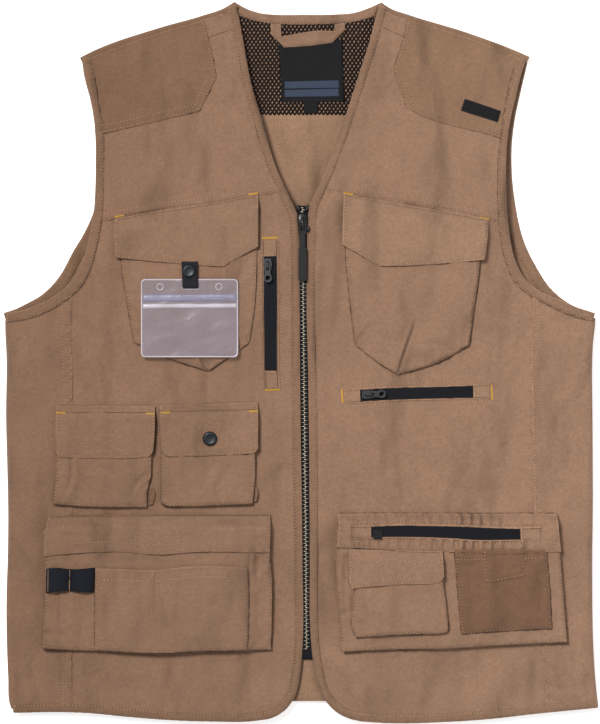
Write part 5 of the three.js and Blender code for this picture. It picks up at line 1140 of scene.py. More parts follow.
# a CAD node's own form, merged and with its edges rounded
def rounded(name, nodeName, finishName, body, slotName, width):
    source = frame["nodes"][nodeName]
    piece = source.copy()
    piece.data = source.data.copy()
    piece.name = name
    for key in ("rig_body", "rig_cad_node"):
        del piece[key]
    piece.parent = None
    bpy.context.scene.collection.objects.link(piece)
    form = bmesh.new()
    form.from_mesh(piece.data)
    bmesh.ops.remove_doubles(form, verts=form.verts, dist=1e-6)
    bmesh.ops.dissolve_limit(form, angle_limit=0.02, verts=form.verts, edges=form.edges)
    form.to_mesh(piece.data)
    form.free()
    piece.data.materials.clear()
    bevel = piece.modifiers.new("rounding", "BEVEL")
    bevel.width = width / 1000
    bevel.segments = 3
    bevel.angle_limit = 0.5
    bevel.harden_normals = False
    for face in piece.data.polygons:
        face.use_smooth = False
    return finish(piece, finishName, [nodeName], body)


# small moulded form: sections carried along y, each a squared oval between its low and its high
def moulded(name, rows, finishName, nodes):
    rows = np.array(rows, float)
    at = np.linspace(0, len(rows) - 1, 6 * len(rows))
    rows = np.stack([np.interp(at, np.arange(len(rows)), rows[:, k]) for k in range(5)], 1)
    turn = np.linspace(0, 2 * np.pi, 25)[:-1]
    squarer = lambda wave: np.sign(wave) * np.abs(wave) ** 0.7
    middle = toGarment(rows[:, :2])
    base = clothTop(*middle.T)[:, None]
    low, high = rows[:, 3:4], rows[:, 4:5]
    ring = np.stack([
        middle[:, :1] + rows[:, 2:3] * squarer(np.cos(turn)), middle[:, 1:] + 0 * turn,
        base + (low + high) / 2 + (high - low) / 2 * squarer(np.sin(turn))], -1)
    piece = makeMesh(name, ring.reshape(-1, 3), ringFaces(*ring.shape[:2]))
    turnOutward(piece)
    return finish(piece, finishName, nodes)


# rows: middle x, photo y, half width, low and high above the front cloth
mainSlider = [
    (302.6, 213.4, 2.6, -0.2, 1.2), (302.6, 214.2, 4.6, -0.8, 2.6), (302.6, 218, 5.6, -1.2, 3.6),
    (302.7, 223, 5.3, -1.2, 3.8), (302.8, 229, 4.6, -1.2, 3.7), (302.9, 234.2, 4.1, -1.0, 2.8),
    (302.9, 235.4, 2.6, -0.2, 1.2),
]
sliderBridge = [
    (302.6, 217, 0.8, 2.4, 3.4), (302.6, 218, 1.5, 2.6, 5.2), (302.7, 222, 1.8, 3.4, 6.6),
    (302.8, 227, 1.8, 3.4, 6.6), (302.9, 231, 1.5, 2.4, 5.0), (302.9, 232, 0.8, 2.2, 3.2),
]
moulded("mainSlider", mainSlider, "rubber", ["main_zip_slider"])
moulded("mainSliderBridge", sliderBridge, "rubber", ())
moulded("sliderRing", [(308.2, 226.4, 0.8, 2.6, 3.6), (308.6, 228, 1.5, 2.4, 4.2), (308.5, 230.6, 1.4, 2.4, 4.2),
                       (307.8, 232.2, 0.8, 2.6, 3.6)], "rubber", ())
for index, (x, lean) in enumerate(((298.2, 0.5), (307.4, -0.4))):
    moulded("topStop%d" % (index + 1), [(x, 204.6, 0.9, 0.2, 1.4), (x, 205.4, 1.6, -0.4, 2.4),
                                        (x + lean, 210.4, 1.6, -0.4, 2.4), (x + lean, 211.2, 0.9, 0.2, 1.4)],
            "rubber", ())

hardware = [
    ("mainPull", "main_zip_pull", "rubber", "main_pull", "pull", 0.35),
    ("chestSlider", "chest_zip_slider", "gunmetal", "garment", "metal", 0.35),
    ("chestPull", "chest_zip_pull", "gunmetal", "chest_pull", "metal", 0.2),
    ("waistSlider", "waist_zip_slider", "gunmetal", "garment", "metal", 0.35),
    ("waistPull", "waist_zip_pull", "gunmetal", "waist_pull", "metal", 0.2),
    ("cargoSlider", "cargo_zip_slider", "rubber", "garment", "metal", 0.6),
]
for row in hardware:
    rounded(*row)
print("main zip and hardware made")


# Zips in welts: black tape, two folded lips beside it and a tab over each end

weltedZips = {
    "chest": {
        "node": "chest_zip", "tape": outline([(263.8, 255), (276.2, 255)], [(265, 372.5), (276.8, 372.5)]),
        "lips": [[(261.6, 240), (262.2, 256), (263.3, 371), (265.2, 389)],
                 [(277.4, 240), (278.2, 256), (278.6, 371), (279.3, 389)]],
        "tabs": [outline([(263, 240.5), (276.2, 240.5)], [(263.6, 256.5), (276.5, 256)]),
                 outline([(264.8, 371), (277.2, 371)], [(266.6, 388.6), (277.8, 388.6)])],
        "tacks": [((262.3, 238.2), (276.9, 237.8)), ((265.4, 390), (279.8, 389.8))], "groove": "sides",
    },
    "waist": {
        "node": "waist_zip", "tape": outline([(358.5, 389.2), (474.5, 385.2)], [(358.8, 401.4), (474.8, 397.6)]),
        "lips": [[(343.5, 389.4), (360, 388.2), (474, 384.2), (490.5, 383.4)],
                 [(344, 404), (360, 403), (474, 399.2), (490.5, 398.8)]],
        "tabs": [outline([(344, 390), (359.8, 389.2)], [(344.4, 402.8), (360.2, 402)]),
                 outline([(473.2, 385), (489.6, 384.4)], [(473.6, 398.6), (489.8, 398)])],
        "tacks": [((341.8, 389.3), (342.6, 402.5)), ((491.6, 385), (492.4, 399.2))], "groove": "top",
    },
}
for key, spec in weltedZips.items():
    middle = "left" if spec["groove"] == "sides" else "top"
    other = "right" if middle == "left" else "bottom"
    slit = lambda x, y, reach: -0.35 * np.exp(-(((reach[middle] - reach[other]) / 2 / 0.8) ** 2))
    zipTapeSpec = {"nodes": [spec["node"]], "slot": "zip", "finish": "zipTape", "sides": spec["tape"], "over": 0.9,
                   "rumple": 0, "step": 1.1, "wall": 0.9, "extra": slit}
    lay(key + "ZipTape", zipTapeSpec)
    for index, lip in enumerate(spec["lips"]):
        lipSpec = {"nodes": [spec["node"] + "_frame"] if index == 0 else [], "slot": "flap",
                   "over": 0.5, "rise": [("sides", 1.1, 1.0)], "rumple": 0, "wall": 1.5,
                   "puckered": ("left",), "pucker": 0.3}
        lay(key + "ZipLip%d" % (index + 1), lipSpec, *ribbon(lip, 1.2 if index else -1.2, 1.6, 5))
    for index, tab in enumerate(spec["tabs"]):
        tabSpec = {"slot": "flap", "sides": tab, "over": 0.7, "rumple": 0, "step": 1.2,
                   "rise": [("edge", 1.2, 0.4)]}
        lay(key + "ZipTab%d" % (index + 1), tabSpec)
    for lip, outside in zip(spec["lips"], (1, -1)):
        sew(lip, outside * -2.6 if middle == "left" else outside * 2.6)
        sew(lip, outside * 1.7 if middle == "left" else outside * -1.7, **grooveShadowLine)
    for start, end in spec["tacks"]:
        tack(start, end)
print("welted zips laid")


# Chest pockets with their flaps

chestPockets = {
    "Right": {
        "pocket": outline([(121.3, 232), (257, 232)], [(134.2, 342.5), (166.5, 357.5), (208.3, 371.3),
            (208.3, 371.3), (249.4, 342.8)], [(121.3, 262), (127, 300)], [(256.6, 262), (254.5, 307)]),
        "pocketFolds": [
            (1.5, 2.0, 1.0, [(249.4, 342.8), (244, 336), (238.6, 329), (233, 322)]),
            (1.6, 2.2, 1.1, [(208.3, 371.4), (201.2, 358.6), (190.8, 333), (186, 326)]),
            (2.4, 1.2, 0.8, [(240, 346), (228, 349), (213, 350)]),
            (5, 1.2, 0.5, [(132, 338), (150, 330), (164, 312)]),
            (6, 1.2, 0.5, [(246, 268), (236, 292), (240, 322)]),
        ],
        "flap": outline([(114.8, 218.9), (163, 210.3), (191.6, 206.4), (217, 202.1), (258, 194.4)],
            [(116.1, 257.7), (181.4, 263.8), (223.3, 266.6), (223.3, 266.6), (257.8, 246.6)], [(115.2, 238)],
            [(257.9, 220)]),
        "tacks": [((115.2, 217), (123.4, 215.6)), ((249, 194.6), (257.6, 193.4))],
    },
    "Left": {
        "pocket": outline([(345.9, 234), (481, 234)], [(355.5, 345), (376.5, 361.4), (397.6, 374.9),
            (397.6, 374.9), (437.8, 362.9), (469.3, 345.3)], [(346, 256), (348.8, 290)], [(480, 262), (475, 304)]),
        "pocketFolds": [
            (1.6, 2.2, 1.1, [(355.5, 345), (361, 336), (367.5, 328.5), (380, 321)]),
            (1.5, 2.4, 1.2, [(398.2, 373), (401.5, 362), (409, 340), (416.5, 319)]),
            (6, 1.0, 0.5, [(396, 316), (378, 322), (364, 340)]),
            (9, 1.3, 0.8, [(442, 262), (436, 300), (440, 330)]),
            (9, 0.9, 0.5, [(418, 266), (412, 296), (420, 322)]),
            (4, 1.2, 0.6, [(452, 352), (436, 344), (418, 346)]),
        ],
        "flap": outline([(344.2, 193.9), (395.7, 203.8), (447.3, 212.3), (488.8, 219.7)], [(342.4, 244.6),
            (379.4, 266), (379.4, 266), (414.8, 265.3), (484, 259.7)], [(343, 220)], [(486.5, 240)]),
        "tacks": [((343.8, 193), (352.6, 194.4)), ((480.6, 217.8), (489.2, 219.4))],
    },
}
for side, spec in chestPockets.items():
    low = side.lower()
    pocket = {"nodes": ["chest_pocket_" + low], "slot": "shell", "sides": spec["pocket"],
              "level": 2.3, "rise": [("sewn", 2.6, 1.5), ("sewn", 26, 3.0)], "folds": spec["pocketFolds"],
              "rumple": 1.8, "wave": 52, "puckered": ("left", "right", "bottom"), "pucker": 0.6, "step": 1.5}
    lay("chestPocket" + side, pocket)
    sewSides(pocket, sewnSides, 1.5)
    flap = {"nodes": ["chest_flap_" + low], "slot": "flap", "sides": spec["flap"], "level": 1.9,
            "rise": [("top", 17, 6.6)], "rumple": 0.7, "wave": 60, "puckered": ("left", "right", "bottom"),
            "pucker": 0.3, "wall": 1.6, "step": 1.8}
    lay("chestFlap" + side, flap)
    sewSides(flap, sewnSides, 1.7)
    sewSides(flap, ["top"], 1.4, thread="dark", pitch=3.6)
    for start, end in spec["tacks"]:
        tack(start, end)
print("chest pockets laid")


# Small pockets on the wearer's right

smallPockets = {
    "outer": {
        "pocket": outline([(57.8, 424), (151.6, 424)], [(53.8, 504.3), (90.9, 506.5), (146.8, 507)],
            [(57.4, 458), (55.6, 482)], [(151.4, 458.5), (150.6, 476), (147.6, 490)]),
        "pocketFolds": [
            (2.2, 1.5, 1.0, [(71.8, 457), (71.6, 480), (66, 494), (57, 503)]),
            (2.4, 1.6, 1.0, [(148, 474), (138, 482), (133, 495)]),
            (1.8, 1.2, 0.8, [(148, 484), (142, 489), (139, 498)]),
            (5, 0.8, 0.4, [(90, 466), (112, 470), (140, 464)]),
        ],
        "flap": outline([(57, 405.8), (154.8, 406.2)], [(56.6, 451.6), (57.8, 454.8), (61, 456.4), (66, 456.8),
            (106, 457.8), (144, 457), (149, 456.2), (151.6, 453.6), (153.5, 450.4)], [(56.4, 430)],
            [(154.4, 436)]),
        "hem": [(58, 412.2), (154, 412.8)],
        "tacks": [((57.4, 412.6), (65.4, 412.6)), ((146.4, 413.4), (154.2, 413.4))],
    },
    "inner": {
        "pocket": outline([(161, 424), (255.6, 422)], [(161.2, 502), (164.5, 504.6), (181.6, 505.9),
            (215, 505.2), (252.4, 503.6)], [(162.2, 456.7), (161.5, 480)], [(254.9, 454.4), (254.2, 487)]),
        "pocketFolds": [
            (3, 1.2, 0.8, [(176, 458), (174.5, 478), (166, 500)]),
            (3, 1.0, 0.6, [(252, 474), (243, 480), (240, 492)]),
            (5, 0.8, 0.4, [(186, 470), (210, 464), (236, 468)]),
        ],
        "flap": outline([(160.2, 405.6), (257.6, 402.3)], [(162.4, 452), (165.4, 454.8), (170.2, 456),
            (176, 456), (208, 455.3), (248, 453.3), (253, 452.8), (256.4, 450.6), (257.8, 447.6)],
            [(160.8, 430)], [(258, 426)]),
        "hem": [(161.4, 411.8), (257.2, 409.6)],
        "tacks": [((161.6, 412.4), (170, 412.2)), ((249.6, 411), (257.6, 410.8))],
    },
}
for key, spec in smallPockets.items():
    pocket = {"nodes": [key + "_pocket"], "slot": "shell", "sides": spec["pocket"], "level": 6.0,
              "rise": [("sewn", 3, 1.3)], "folds": spec["pocketFolds"], "rumple": 1.4, "wave": 42,
              "puckered": sewnSides, "pucker": 0.4, "step": 1.5}
    raisedPocket(key + "Pocket", key + "PocketBellows", pocket, 1.4, 5.6)
    flap = {"nodes": [key + "_flap"], "slot": "patch", "finish": "shell", "sides": spec["flap"], "level": 2.6,
            "rise": [("top", 12, 6.2)], "rumple": 0.7, "wave": 46, "puckered": allSides,
            "pucker": 0.35, "wall": 1.7, "step": 1.6}
    lay(key + "Flap", flap)
    sewSides(flap, sewnSides, 1.8)
    sew(spec["hem"], thread="dark", pitch=3.0, wide=0.8)
    for start, end in spec["tacks"]:
        tack(start, end)
crossBox(87.5, 435.5, 123, 451)

# the folds of the bellows that stand out at the low corners
bellowsTips = {
    "outer": outline([(146.5, 487), (152.5, 487.5)], [(146.5, 505.5), (152.6, 504)], [], [(154.6, 492)]),
    "inner": outline([(252.5, 486), (255.8, 487)], [(252, 502), (256, 501)], [], [(257.6, 492)]),
}
for key, sides in bellowsTips.items():
    lay(key + "BellowsTip", {"slot": "shell", "finish": "patch", "sides": sides, "level": 2.2, "step": 1,
                             "rise": [("left", 5, 2.2)], "rumple": 0.3, "wave": 12})


# domed cap turned round its axis: rows down the profile, columns round it
def studCap(name, spec):
    profile = np.array(spec["profile"])
    turn = np.linspace(0, 2 * np.pi, 49)[:-1]
    x0, y0 = toGarment([spec["middle"]])[0]
    z0 = clothTop(np.array([x0]), np.array([y0]))[0] + spec["level"]
    ring = np.stack([
        x0 + profile[:, :1] * np.cos(turn), y0 + profile[:, :1] * np.sin(turn), z0 + profile[:, 1:] + 0 * turn], -1)
    piece = makeMesh(name, ring.reshape(-1, 3), [faces[:, ::-1] for faces in ringFaces(*ring.shape[:2])])
    turnOutward(piece)
    return finish(piece, "stud", [spec["node"]])


capProfile = [(0.2, 1.75), (2.4, 1.85), (4.2, 2.0), (4.9, 2.2), (5.7, 2.15), (6.6, 1.7), (7.2, 0.9), (7.1, 0.3),
              (6.6, 0.0), (0.2, 0.0)]
studCap("flapStud", {"node": "inner_flap_snap", "middle": (210.2, 438.6), "level": 9.6, "profile": capProfile})
print("small pockets laid")


# Low pocket on the wearer's right

cargoRight = {
    "pocket": outline([(43.6, 530), (270.2, 530)], [(42.4, 648.4), (94.3, 650.6), (165, 653), (199.4, 651),
        (247, 650), (270.8, 648.8)], [(45, 555), (44.8, 600), (43.4, 625)], [(270.2, 556), (271.6, 576),
        (271.5, 624)]),
    "pocketFolds": [
        (2.4, 1.4, 0.9, [(57, 594), (55.5, 620), (50, 640)]),
        (2.4, 1.2, 0.8, [(69.5, 555), (70, 566)]),
        (1.6, 1.3, 0.8, [(250, 556), (250.5, 600), (250, 646)]),
        (4, 1.4, 0.8, [(262, 556), (256, 572), (252, 590)]),
        (5, 1.0, 0.5, [(100, 558), (150, 562), (200, 557)]),
        (3, 1.1, 0.6, [(268, 630), (260, 640), (253, 646)]),
        (3, 1.0, 0.5, [(46, 634), (56, 632), (66, 640)]),
    ],
    "flap": outline([(48.6, 516.6), (100, 515.5), (180, 514.9), (270, 514.8)], [(45.2, 556), (74.5, 552.8),
        (119, 551.2), (143.7, 553.3), (165, 553.8), (189.5, 551.8), (224, 551.2), (269.6, 552)], [(46, 535)],
        [(270, 535)]),
    "tool": outline([(95.8, 568), (133.9, 569.4), (154, 570), (179.7, 567.2), (209.3, 565.3), (247.9, 567.6)],
        [(95.4, 649.6), (165, 652.4), (199.4, 650.6), (247.6, 649.6)], [(95.2, 610)], [(249, 604)]),
    "toolFolds": [
        (2.2, 2.2, 1.4, [(153.2, 571), (152.5, 590), (151, 620), (149.7, 649)]),
        (8, 1.0, 0.5, [(118, 582), (122, 610), (119, 640)]),
        (7, 1.0, 0.8, [(164, 586), (160, 612), (166, 636)]),
    ],
}


# the large low pocket of one side
def lowPocket(side, spec):
    pocket = {"nodes": ["cargo_pocket_" + side.lower()], "slot": "shell", "sides": spec["pocket"], "level": 7.6,
              "rise": [("sewn", 3, 1.6)], "folds": spec["pocketFolds"], "rumple": 1.5, "wave": 46,
              "puckered": sewnSides, "pucker": 0.45, "step": 1.9}
    raisedPocket("cargoPocket" + side, "cargo%sBellows" % side, pocket, 1.5, 7.4)


lowPocket("Right", cargoRight)
tool = {"nodes": ["tool_pocket"], "slot": "patch", "finish": "shell", "sides": cargoRight["tool"], "level": 10.6,
        "rise": [("sewn", 2.6, 1.4), ("sewn", 20, 2.6)], "folds": cargoRight["toolFolds"], "rumple": 1.0, "wave": 48,
        "puckered": ("left", "right", "bottom", "top"), "pucker": 0.4, "wall": 1.4, "step": 1.8}
lay("toolPocket", tool)
sewSides(tool, sewnSides, 1.4)
sewSides(tool, ["top"], 10.5, thread="pale")
tack((152.8, 571), (152.6, 578), 1.8, "pale")
flap = {"nodes": ["cargo_flap_right"], "slot": "patch", "finish": "shell", "sides": cargoRight["flap"], "level": 3.0,
        "rise": [("top", 14, 8.4)], "rumple": 0.9, "wave": 60, "puckered": allSides,
        "pucker": 0.45, "wall": 1.8, "step": 1.8}
lay("cargoFlapRight", flap)
sewSides(flap, ["bottom"], 9.6)
sewSides(flap, ["top"], 0.7, thread="dark", pitch=2.6, wide=1.3)
sewSides(flap, ["right"], 2)
crossBox(135.8, 531.7, 178.7, 550)

elastic = {
    "sides": outline([(46.6, 568.4), (60, 567.6), (69.6, 569), (84, 568.4), (95.4, 567.4)],
                     [(46.4, 592), (60, 590.4), (69.6, 590), (84, 591), (94.6, 591.4)]),
    "humps": 2, "rise": 5.6,
}


# two humps of elastic: the rise is a sine to the power 0.6 over each half of its length
def elasticHumps(x, y, reach):
    share = reach["left"] / (reach["left"] + reach["right"])
    return elastic["rise"] * np.abs(np.sin(np.pi * elastic["humps"] * share)) ** 0.6


lay("elasticLoops", {"nodes": ["elastic_loops"], "slot": "webbing", "finish": "elastic", "sides": elastic["sides"],
                     "level": 10.8, "rumple": 0.2, "extra": elasticHumps, "wall": 1.3, "step": 1.1})
sew([(48.8, 568.8), (48.6, 591.4)], thread="pale", pitch=2.2, share=0.9, holes=False)
sew([(70.2, 568.8), (69.8, 591)], thread="pale", pitch=1.8, share=1.1, holes=False, wide=1.3, high=0.8)
print("low right pocket laid")


# Low pocket on the wearer's left

cargoLeft = {
    "pocket": outline([(337.5, 530), (556.5, 530)], [(341.9, 651), (399, 648.6), (450, 648), (499.4, 644.6),
        (566.4, 641.6)], [(337.2, 560), (339, 600)], [(559.4, 552), (561.9, 584)]),
    "pocketFolds": [
        (2.2, 1.2, 0.7, [(346, 556), (345, 600), (349, 640)]),
        (3, 1.1, 0.6, [(339, 612), (346, 614), (353, 610)]),
        (2.0, 1.2, 0.7, [(552.5, 556), (556, 600), (559, 634)]),
        (3, 1.0, 0.5, [(562, 586), (555, 592), (552, 602)]),
        (4, 1.0, 0.5, [(452, 556), (453, 600), (458, 640)]),
        (4, 1.1, 0.6, [(365, 646), (380, 640), (420, 642)]),
        (4, 0.9, 0.5, [(560, 640), (530, 634), (500, 638)]),
    ],
    "zipFlap": outline([(337.9, 513.7), (400, 513.4), (460, 513.6), (556.8, 513.7)], [(336.9, 547),
        (369.5, 548.2), (409, 550.8), (460, 551.4), (494.5, 553.2), (530, 552.4), (560, 551.2)], [(339, 527.7),
        (338, 540)], [(558, 530)]),
    "tape": outline([(369.5, 525.6), (395, 524.6), (430, 525), (460, 525.6), (490, 527), (521, 528)],
        [(369.8, 537.4), (400, 537), (450, 538.4), (480, 540.2), (505, 540), (521, 539.8)]),
    "tabs": [
        outline([(352.6, 525.6), (370.8, 525.4)], [(353, 538), (371, 537.6)]),
        outline([(520, 527.8), (539, 527.2)], [(520.4, 539.8), (538.4, 539)]),
    ],
    "lips": [
        [(351, 525.4), (370, 524.6), (395, 523.4), (430, 523.8), (460, 524.4), (490, 525.8), (521, 526.6),
         (540, 526.2)],
        [(351.6, 539), (370, 538.6), (400, 538.2), (450, 539.6), (480, 541.4), (505, 541.2), (521, 541),
         (540, 540.4)],
    ],
    "phonePocket": outline([(354.6, 575), (442.6, 573)], [(355.7, 636.7), (361, 636.4), (389.3, 634.4),
        (420, 633), (440, 632.4), (444.7, 631.6), (447, 630), (448, 627.4)], [(354.7, 588), (352.4, 612),
        (352.2, 626.6)], [(443, 584), (445.6, 604)]),
    "phoneFolds": [
        (6, 0.9, 0.6, [(378, 588), (372, 606), (376, 626)]),
        (7, 0.8, 0.4, [(424, 590), (430, 610), (426, 628)]),
        (2.6, 1.0, 0.6, [(362, 622), (368, 628), (364, 634)]),
    ],
    "phoneFlap": outline([(348.2, 549), (442, 551)], [(352.9, 587.2), (358, 586.7), (399, 583.6), (432, 582.5),
        (437.6, 581.9), (441.2, 579.4), (443.4, 575.6)], [(349.6, 570), (349.8, 582)], [(442.6, 562)]),
    "notePocket": outline([(454.2, 549), (546.2, 549)], [(461.4, 633.6), (509.3, 630.4), (551.6, 628.2)],
        [(457, 584), (459, 610)], [(549, 584)]),
    "noteFolds": [
        (3, 1.0, 0.6, [(458, 560), (468, 566), (482, 560)]),
        (7, 0.9, 0.5, [(480, 590), (476, 612), (486, 628)]),
        (6, 0.9, 0.5, [(530, 584), (540, 600), (536, 622)]),
    ],
    "tab": outline([(482.6, 549), (522.6, 549)], [(484.8, 581.6), (490, 581.4), (510, 578.2), (524, 575.8)],
        [(483.2, 566)], [(523, 562)]),
}
lowPocket("Left", cargoLeft)

note = {"nodes": ["note_pocket"], "slot": "patch", "finish": "dark", "sides": cargoLeft["notePocket"], "level": 10.6,
        "rise": [("sewn", 2.6, 1.4), ("sewn", 18, 2.2)], "folds": cargoLeft["noteFolds"], "rumple": 1.0, "wave": 44,
        "puckered": ("left", "right", "bottom"), "pucker": 0.4, "wall": 1.4, "step": 1.7}
lay("notePocket", note)
sewSides(note, sewnSides, 1.5)
sew([(456, 559), (483, 558.6)], thread="pale")
sew([(523, 557.6), (547, 557)], thread="pale")
tab = {"nodes": ["hanging_tab"], "slot": "patch", "finish": "dark", "sides": cargoLeft["tab"], "level": 15.0,
       "rumple": 0.4, "wave": 24, "step": 1.4, "wall": 1.8, "rise": [("edge", 2, 0.5)],
       "folds": [(1.4, 0.8, 0, [(484, 570), (504, 568.6), (523, 566.6)], True)]}
lay("hangingTab", tab)
sewSides(tab, ["bottom", "right", "left"], 1.5, thread="pale")

phonePocket = {"nodes": ["phone_pocket"], "slot": "patch", "finish": "shell", "sides": cargoLeft["phonePocket"],
               "level": 14.2, "rise": [("sewn", 3, 1.6)], "folds": cargoLeft["phoneFolds"], "rumple": 0.9,
               "wave": 40, "puckered": ("left", "right", "bottom"), "pucker": 0.4, "step": 1.6}
raisedPocket("phonePocket", "phoneBellows", phonePocket, 1.6, 14.0, 9.4)
phoneFlap = {"nodes": ["phone_flap"], "slot": "patch", "finish": "shell", "sides": cargoLeft["phoneFlap"],
             "level": 13.4, "rise": [("top", 12, 4.4)], "rumple": 0.6, "wave": 40, "wall": 1.7, "step": 1.6,
             "puckered": ("bottom", "left", "right"), "pucker": 0.35}
lay("phoneFlap", phoneFlap)
sewSides(phoneFlap, sewnSides, 1.7)
crossBox(376, 561, 410, 578.6)


# cloth gathered along both lips of the zip: ripples every ten millimetres that flatten at the zip itself
def gathers(x, y, reach):
    line = curve(cargoLeft["lips"][0])
    middleY = np.interp(x, line[:, 0], line[:, 1]) - 7.5
    away = np.abs(y - middleY)
    draw = np.random.default_rng(8)
    phase = 2 * np.pi * x / 10.4 + 0.9 * np.sin(x / 17 + draw.uniform(0, 6))
    strength = ease((away - 6) / 3) * (1 - 0.55 * ease((away - 13) / 6)) * ease((x - 44) / 12) * ease((252 - x) / 12)
    uneven = 0.8 + 0.35 * np.sin(x / 23 + 1.0)
    return 2.0 * strength * uneven * np.sin(phase + 0.6 * np.sign(y - middleY))


zipFlap = {"nodes": ["cargo_zip_flap"], "slot": "flap", "finish": "shell", "sides": cargoLeft["zipFlap"],
           "level": 3.6, "rise": [("top", 9, 7.4)], "rumple": 0.8, "wave": 50, "puckered": allSides,
           "pucker": 0.4, "wall": 1.8, "step": 1.5, "extra": gathers}
lay("cargoZipFlap", zipFlap)
sewSides(zipFlap, ["top", "bottom"], 1.8)
sewSides(zipFlap, ["right"], 5.5)
lay("cargoZipTape", {"nodes": ["cargo_zip"], "slot": "zip", "finish": "zipTape", "sides": cargoLeft["tape"],
                     "over": 0.9, "rumple": 0, "step": 1.1, "wall": 0.9,
                     "extra": lambda x, y, reach: -0.35 * np.exp(-(((reach["top"] - reach["bottom"]) / 1.6) ** 2))})
for index, tabSides in enumerate(cargoLeft["tabs"]):
    lay("cargoZipTab%d" % (index + 1), {"slot": "flap", "sides": tabSides, "over": 0.6,
                                        "rumple": 0, "step": 1.2, "rise": [("edge", 1.4, 0.5)]})
for index, lip in enumerate(cargoLeft["lips"]):
    lipSpec = {"slot": "flap", "over": 0.3, "rise": [("sides", 1.2, 0.8)], "rumple": 0,
               "wall": 1.5, "puckered": ("left",), "pucker": 0.4}
    lay("cargoZipLip%d" % (index + 1), lipSpec, *ribbon(lip, 1.6 if index else -1.6, 1.6, 5))
    sew(lip, 1.6 if index == 0 else -1.6)
    sew(lip, -2 if index == 0 else 2, **grooveShadowLine)
# dark lines across both ends of the zip window: painted shadow
for x, sides in ((351.4, (525.2, 539.4)), (540.2, (526, 540.6))):
    sew([(x, sides[0]), (x, sides[1])], **grooveShadowLine)
print("low left pocket laid")


# Badge holder on its strap

badge = {
    "outline": {"left": 141, "top": 278.8, "right": 238.6, "bottom": 357.6}, "corner": 4.5, "level": 7.9,
    "eyelets": [(160.4, 287.1), (219.1, 286.9)], "slot": (182.4, 287, 198.8, 289.4),
}


# rounded rectangle walked once round, as an array of points
def roundedBox(box, corner, inset=0.0, count=120):
    x0, x1 = box["left"] + inset - photo["middleX"], box["right"] - inset - photo["middleX"]
    y1, y0 = photo["middleY"] - box["top"] - inset, photo["middleY"] - box["bottom"] + inset
    radius = max(corner - inset, 0.6)
    turns = np.linspace(0, np.pi / 2, 9)
    corners = [(x1 - radius, y1 - radius, 0), (x0 + radius, y1 - radius, 1), (x0 + radius, y0 + radius, 2),
               (x1 - radius, y0 + radius, 3)]
    rows = [np.stack([cx + radius * np.cos(turns + k * np.pi / 2), cy + radius * np.sin(turns + k * np.pi / 2)], 1)
            for cx, cy, k in corners]
    line = np.concatenate([*rows, rows[0][:1]])
    return evenly(line, count + 1)[:-1]


# rounded bead carried round a closed line: a ring of eight points at each step
def bead(name, line, level, wide, high, finishName):
    run = np.roll(line, -1, axis=0) - np.roll(line, 1, axis=0)
    run /= np.hypot(*run.T)[:, None]
    aside = np.stack([-run[:, 1], run[:, 0]], 1)
    turn = np.linspace(0, 2 * np.pi, 9)[:-1]
    z = clothTop(*line.T) + level
    ring = np.concatenate([
        line[:, None] + aside[:, None] * np.cos(turn)[None, :, None] * wide / 2,
        (z[:, None] + np.sin(turn)[None] * high / 2)[..., None]], -1)
    count = len(line)
    i, k = np.arange(count)[:, None] * 8, np.arange(8)[None]
    nextI, nextK = np.roll(i, -1, axis=0), (k + 1) % 8
    quads = np.stack([i + k, i + nextK, nextI + nextK, nextI + k], -1).reshape(-1, 4)
    piece = makeMesh(name, ring.reshape(-1, 3), [quads])
    turnOutward(piece)
    return finish(piece, finishName, ())


box = badge["outline"]
badgeSides = outline(
    [(box["left"] + 1, box["top"] + 1), (box["right"] - 1, box["top"] + 1)],
    [(box["left"] + 1.6, box["bottom"] - 1), (box["right"] - 1.6, box["bottom"] - 2)])
lay("badgeHolder", {"nodes": ["badge_holder"], "slot": "clear", "sides": badgeSides,
                    "level": badge["level"] + 0.9, "rumple": 0.7, "wave": 50, "wall": 0.5, "step": 2})
bead("badgeRim", roundedBox(box, badge["corner"], 1.0, 200), badge["level"] + 0.9, 1.5, 1.2, "weld")
strips = {
    "badgeStrip": {"rows": (294.6, 301.6), "level": 0.95, "finish": "clearStrip", "rise": 0.9},
    "badgeSeal": {"rows": (304, 308.4), "level": 0.9, "finish": "weld", "rise": 0.6},
}
for name, strip in strips.items():
    y0, y1 = strip["rows"]
    sides = outline([(143.2, y0), (236.4, y0 - 0.6)], [(143.3, y1), (236.4, y1 - 0.6)])
    lay(name, {"slot": "clear", "finish": strip["finish"], "sides": sides, "level": badge["level"] + strip["level"],
               "rise": [("edge", 1.6, strip["rise"])], "rumple": 0.7, "wave": 50, "wall": 0.5, "step": 1.2,
               "seed": sum(map(ord, "badgeHolder"))})
for index, (x, y) in enumerate(badge["eyelets"]):
    turn = np.linspace(0, 2 * np.pi, 33)[:-1]
    line = toGarment([(x, y)]) + 3.1 * np.stack([np.cos(turn), np.sin(turn)], 1)
    bead("badgeEyelet%d" % (index + 1), line, badge["level"] + 1.2, 1.1, 0.9, "weld")
slotBox = dict(zip(("left", "top", "right", "bottom"), badge["slot"]))
bead("badgeSlot", roundedBox(slotBox, 1.0, 0, 60), badge["level"] + 1.2, 0.8, 0.7, "weld")

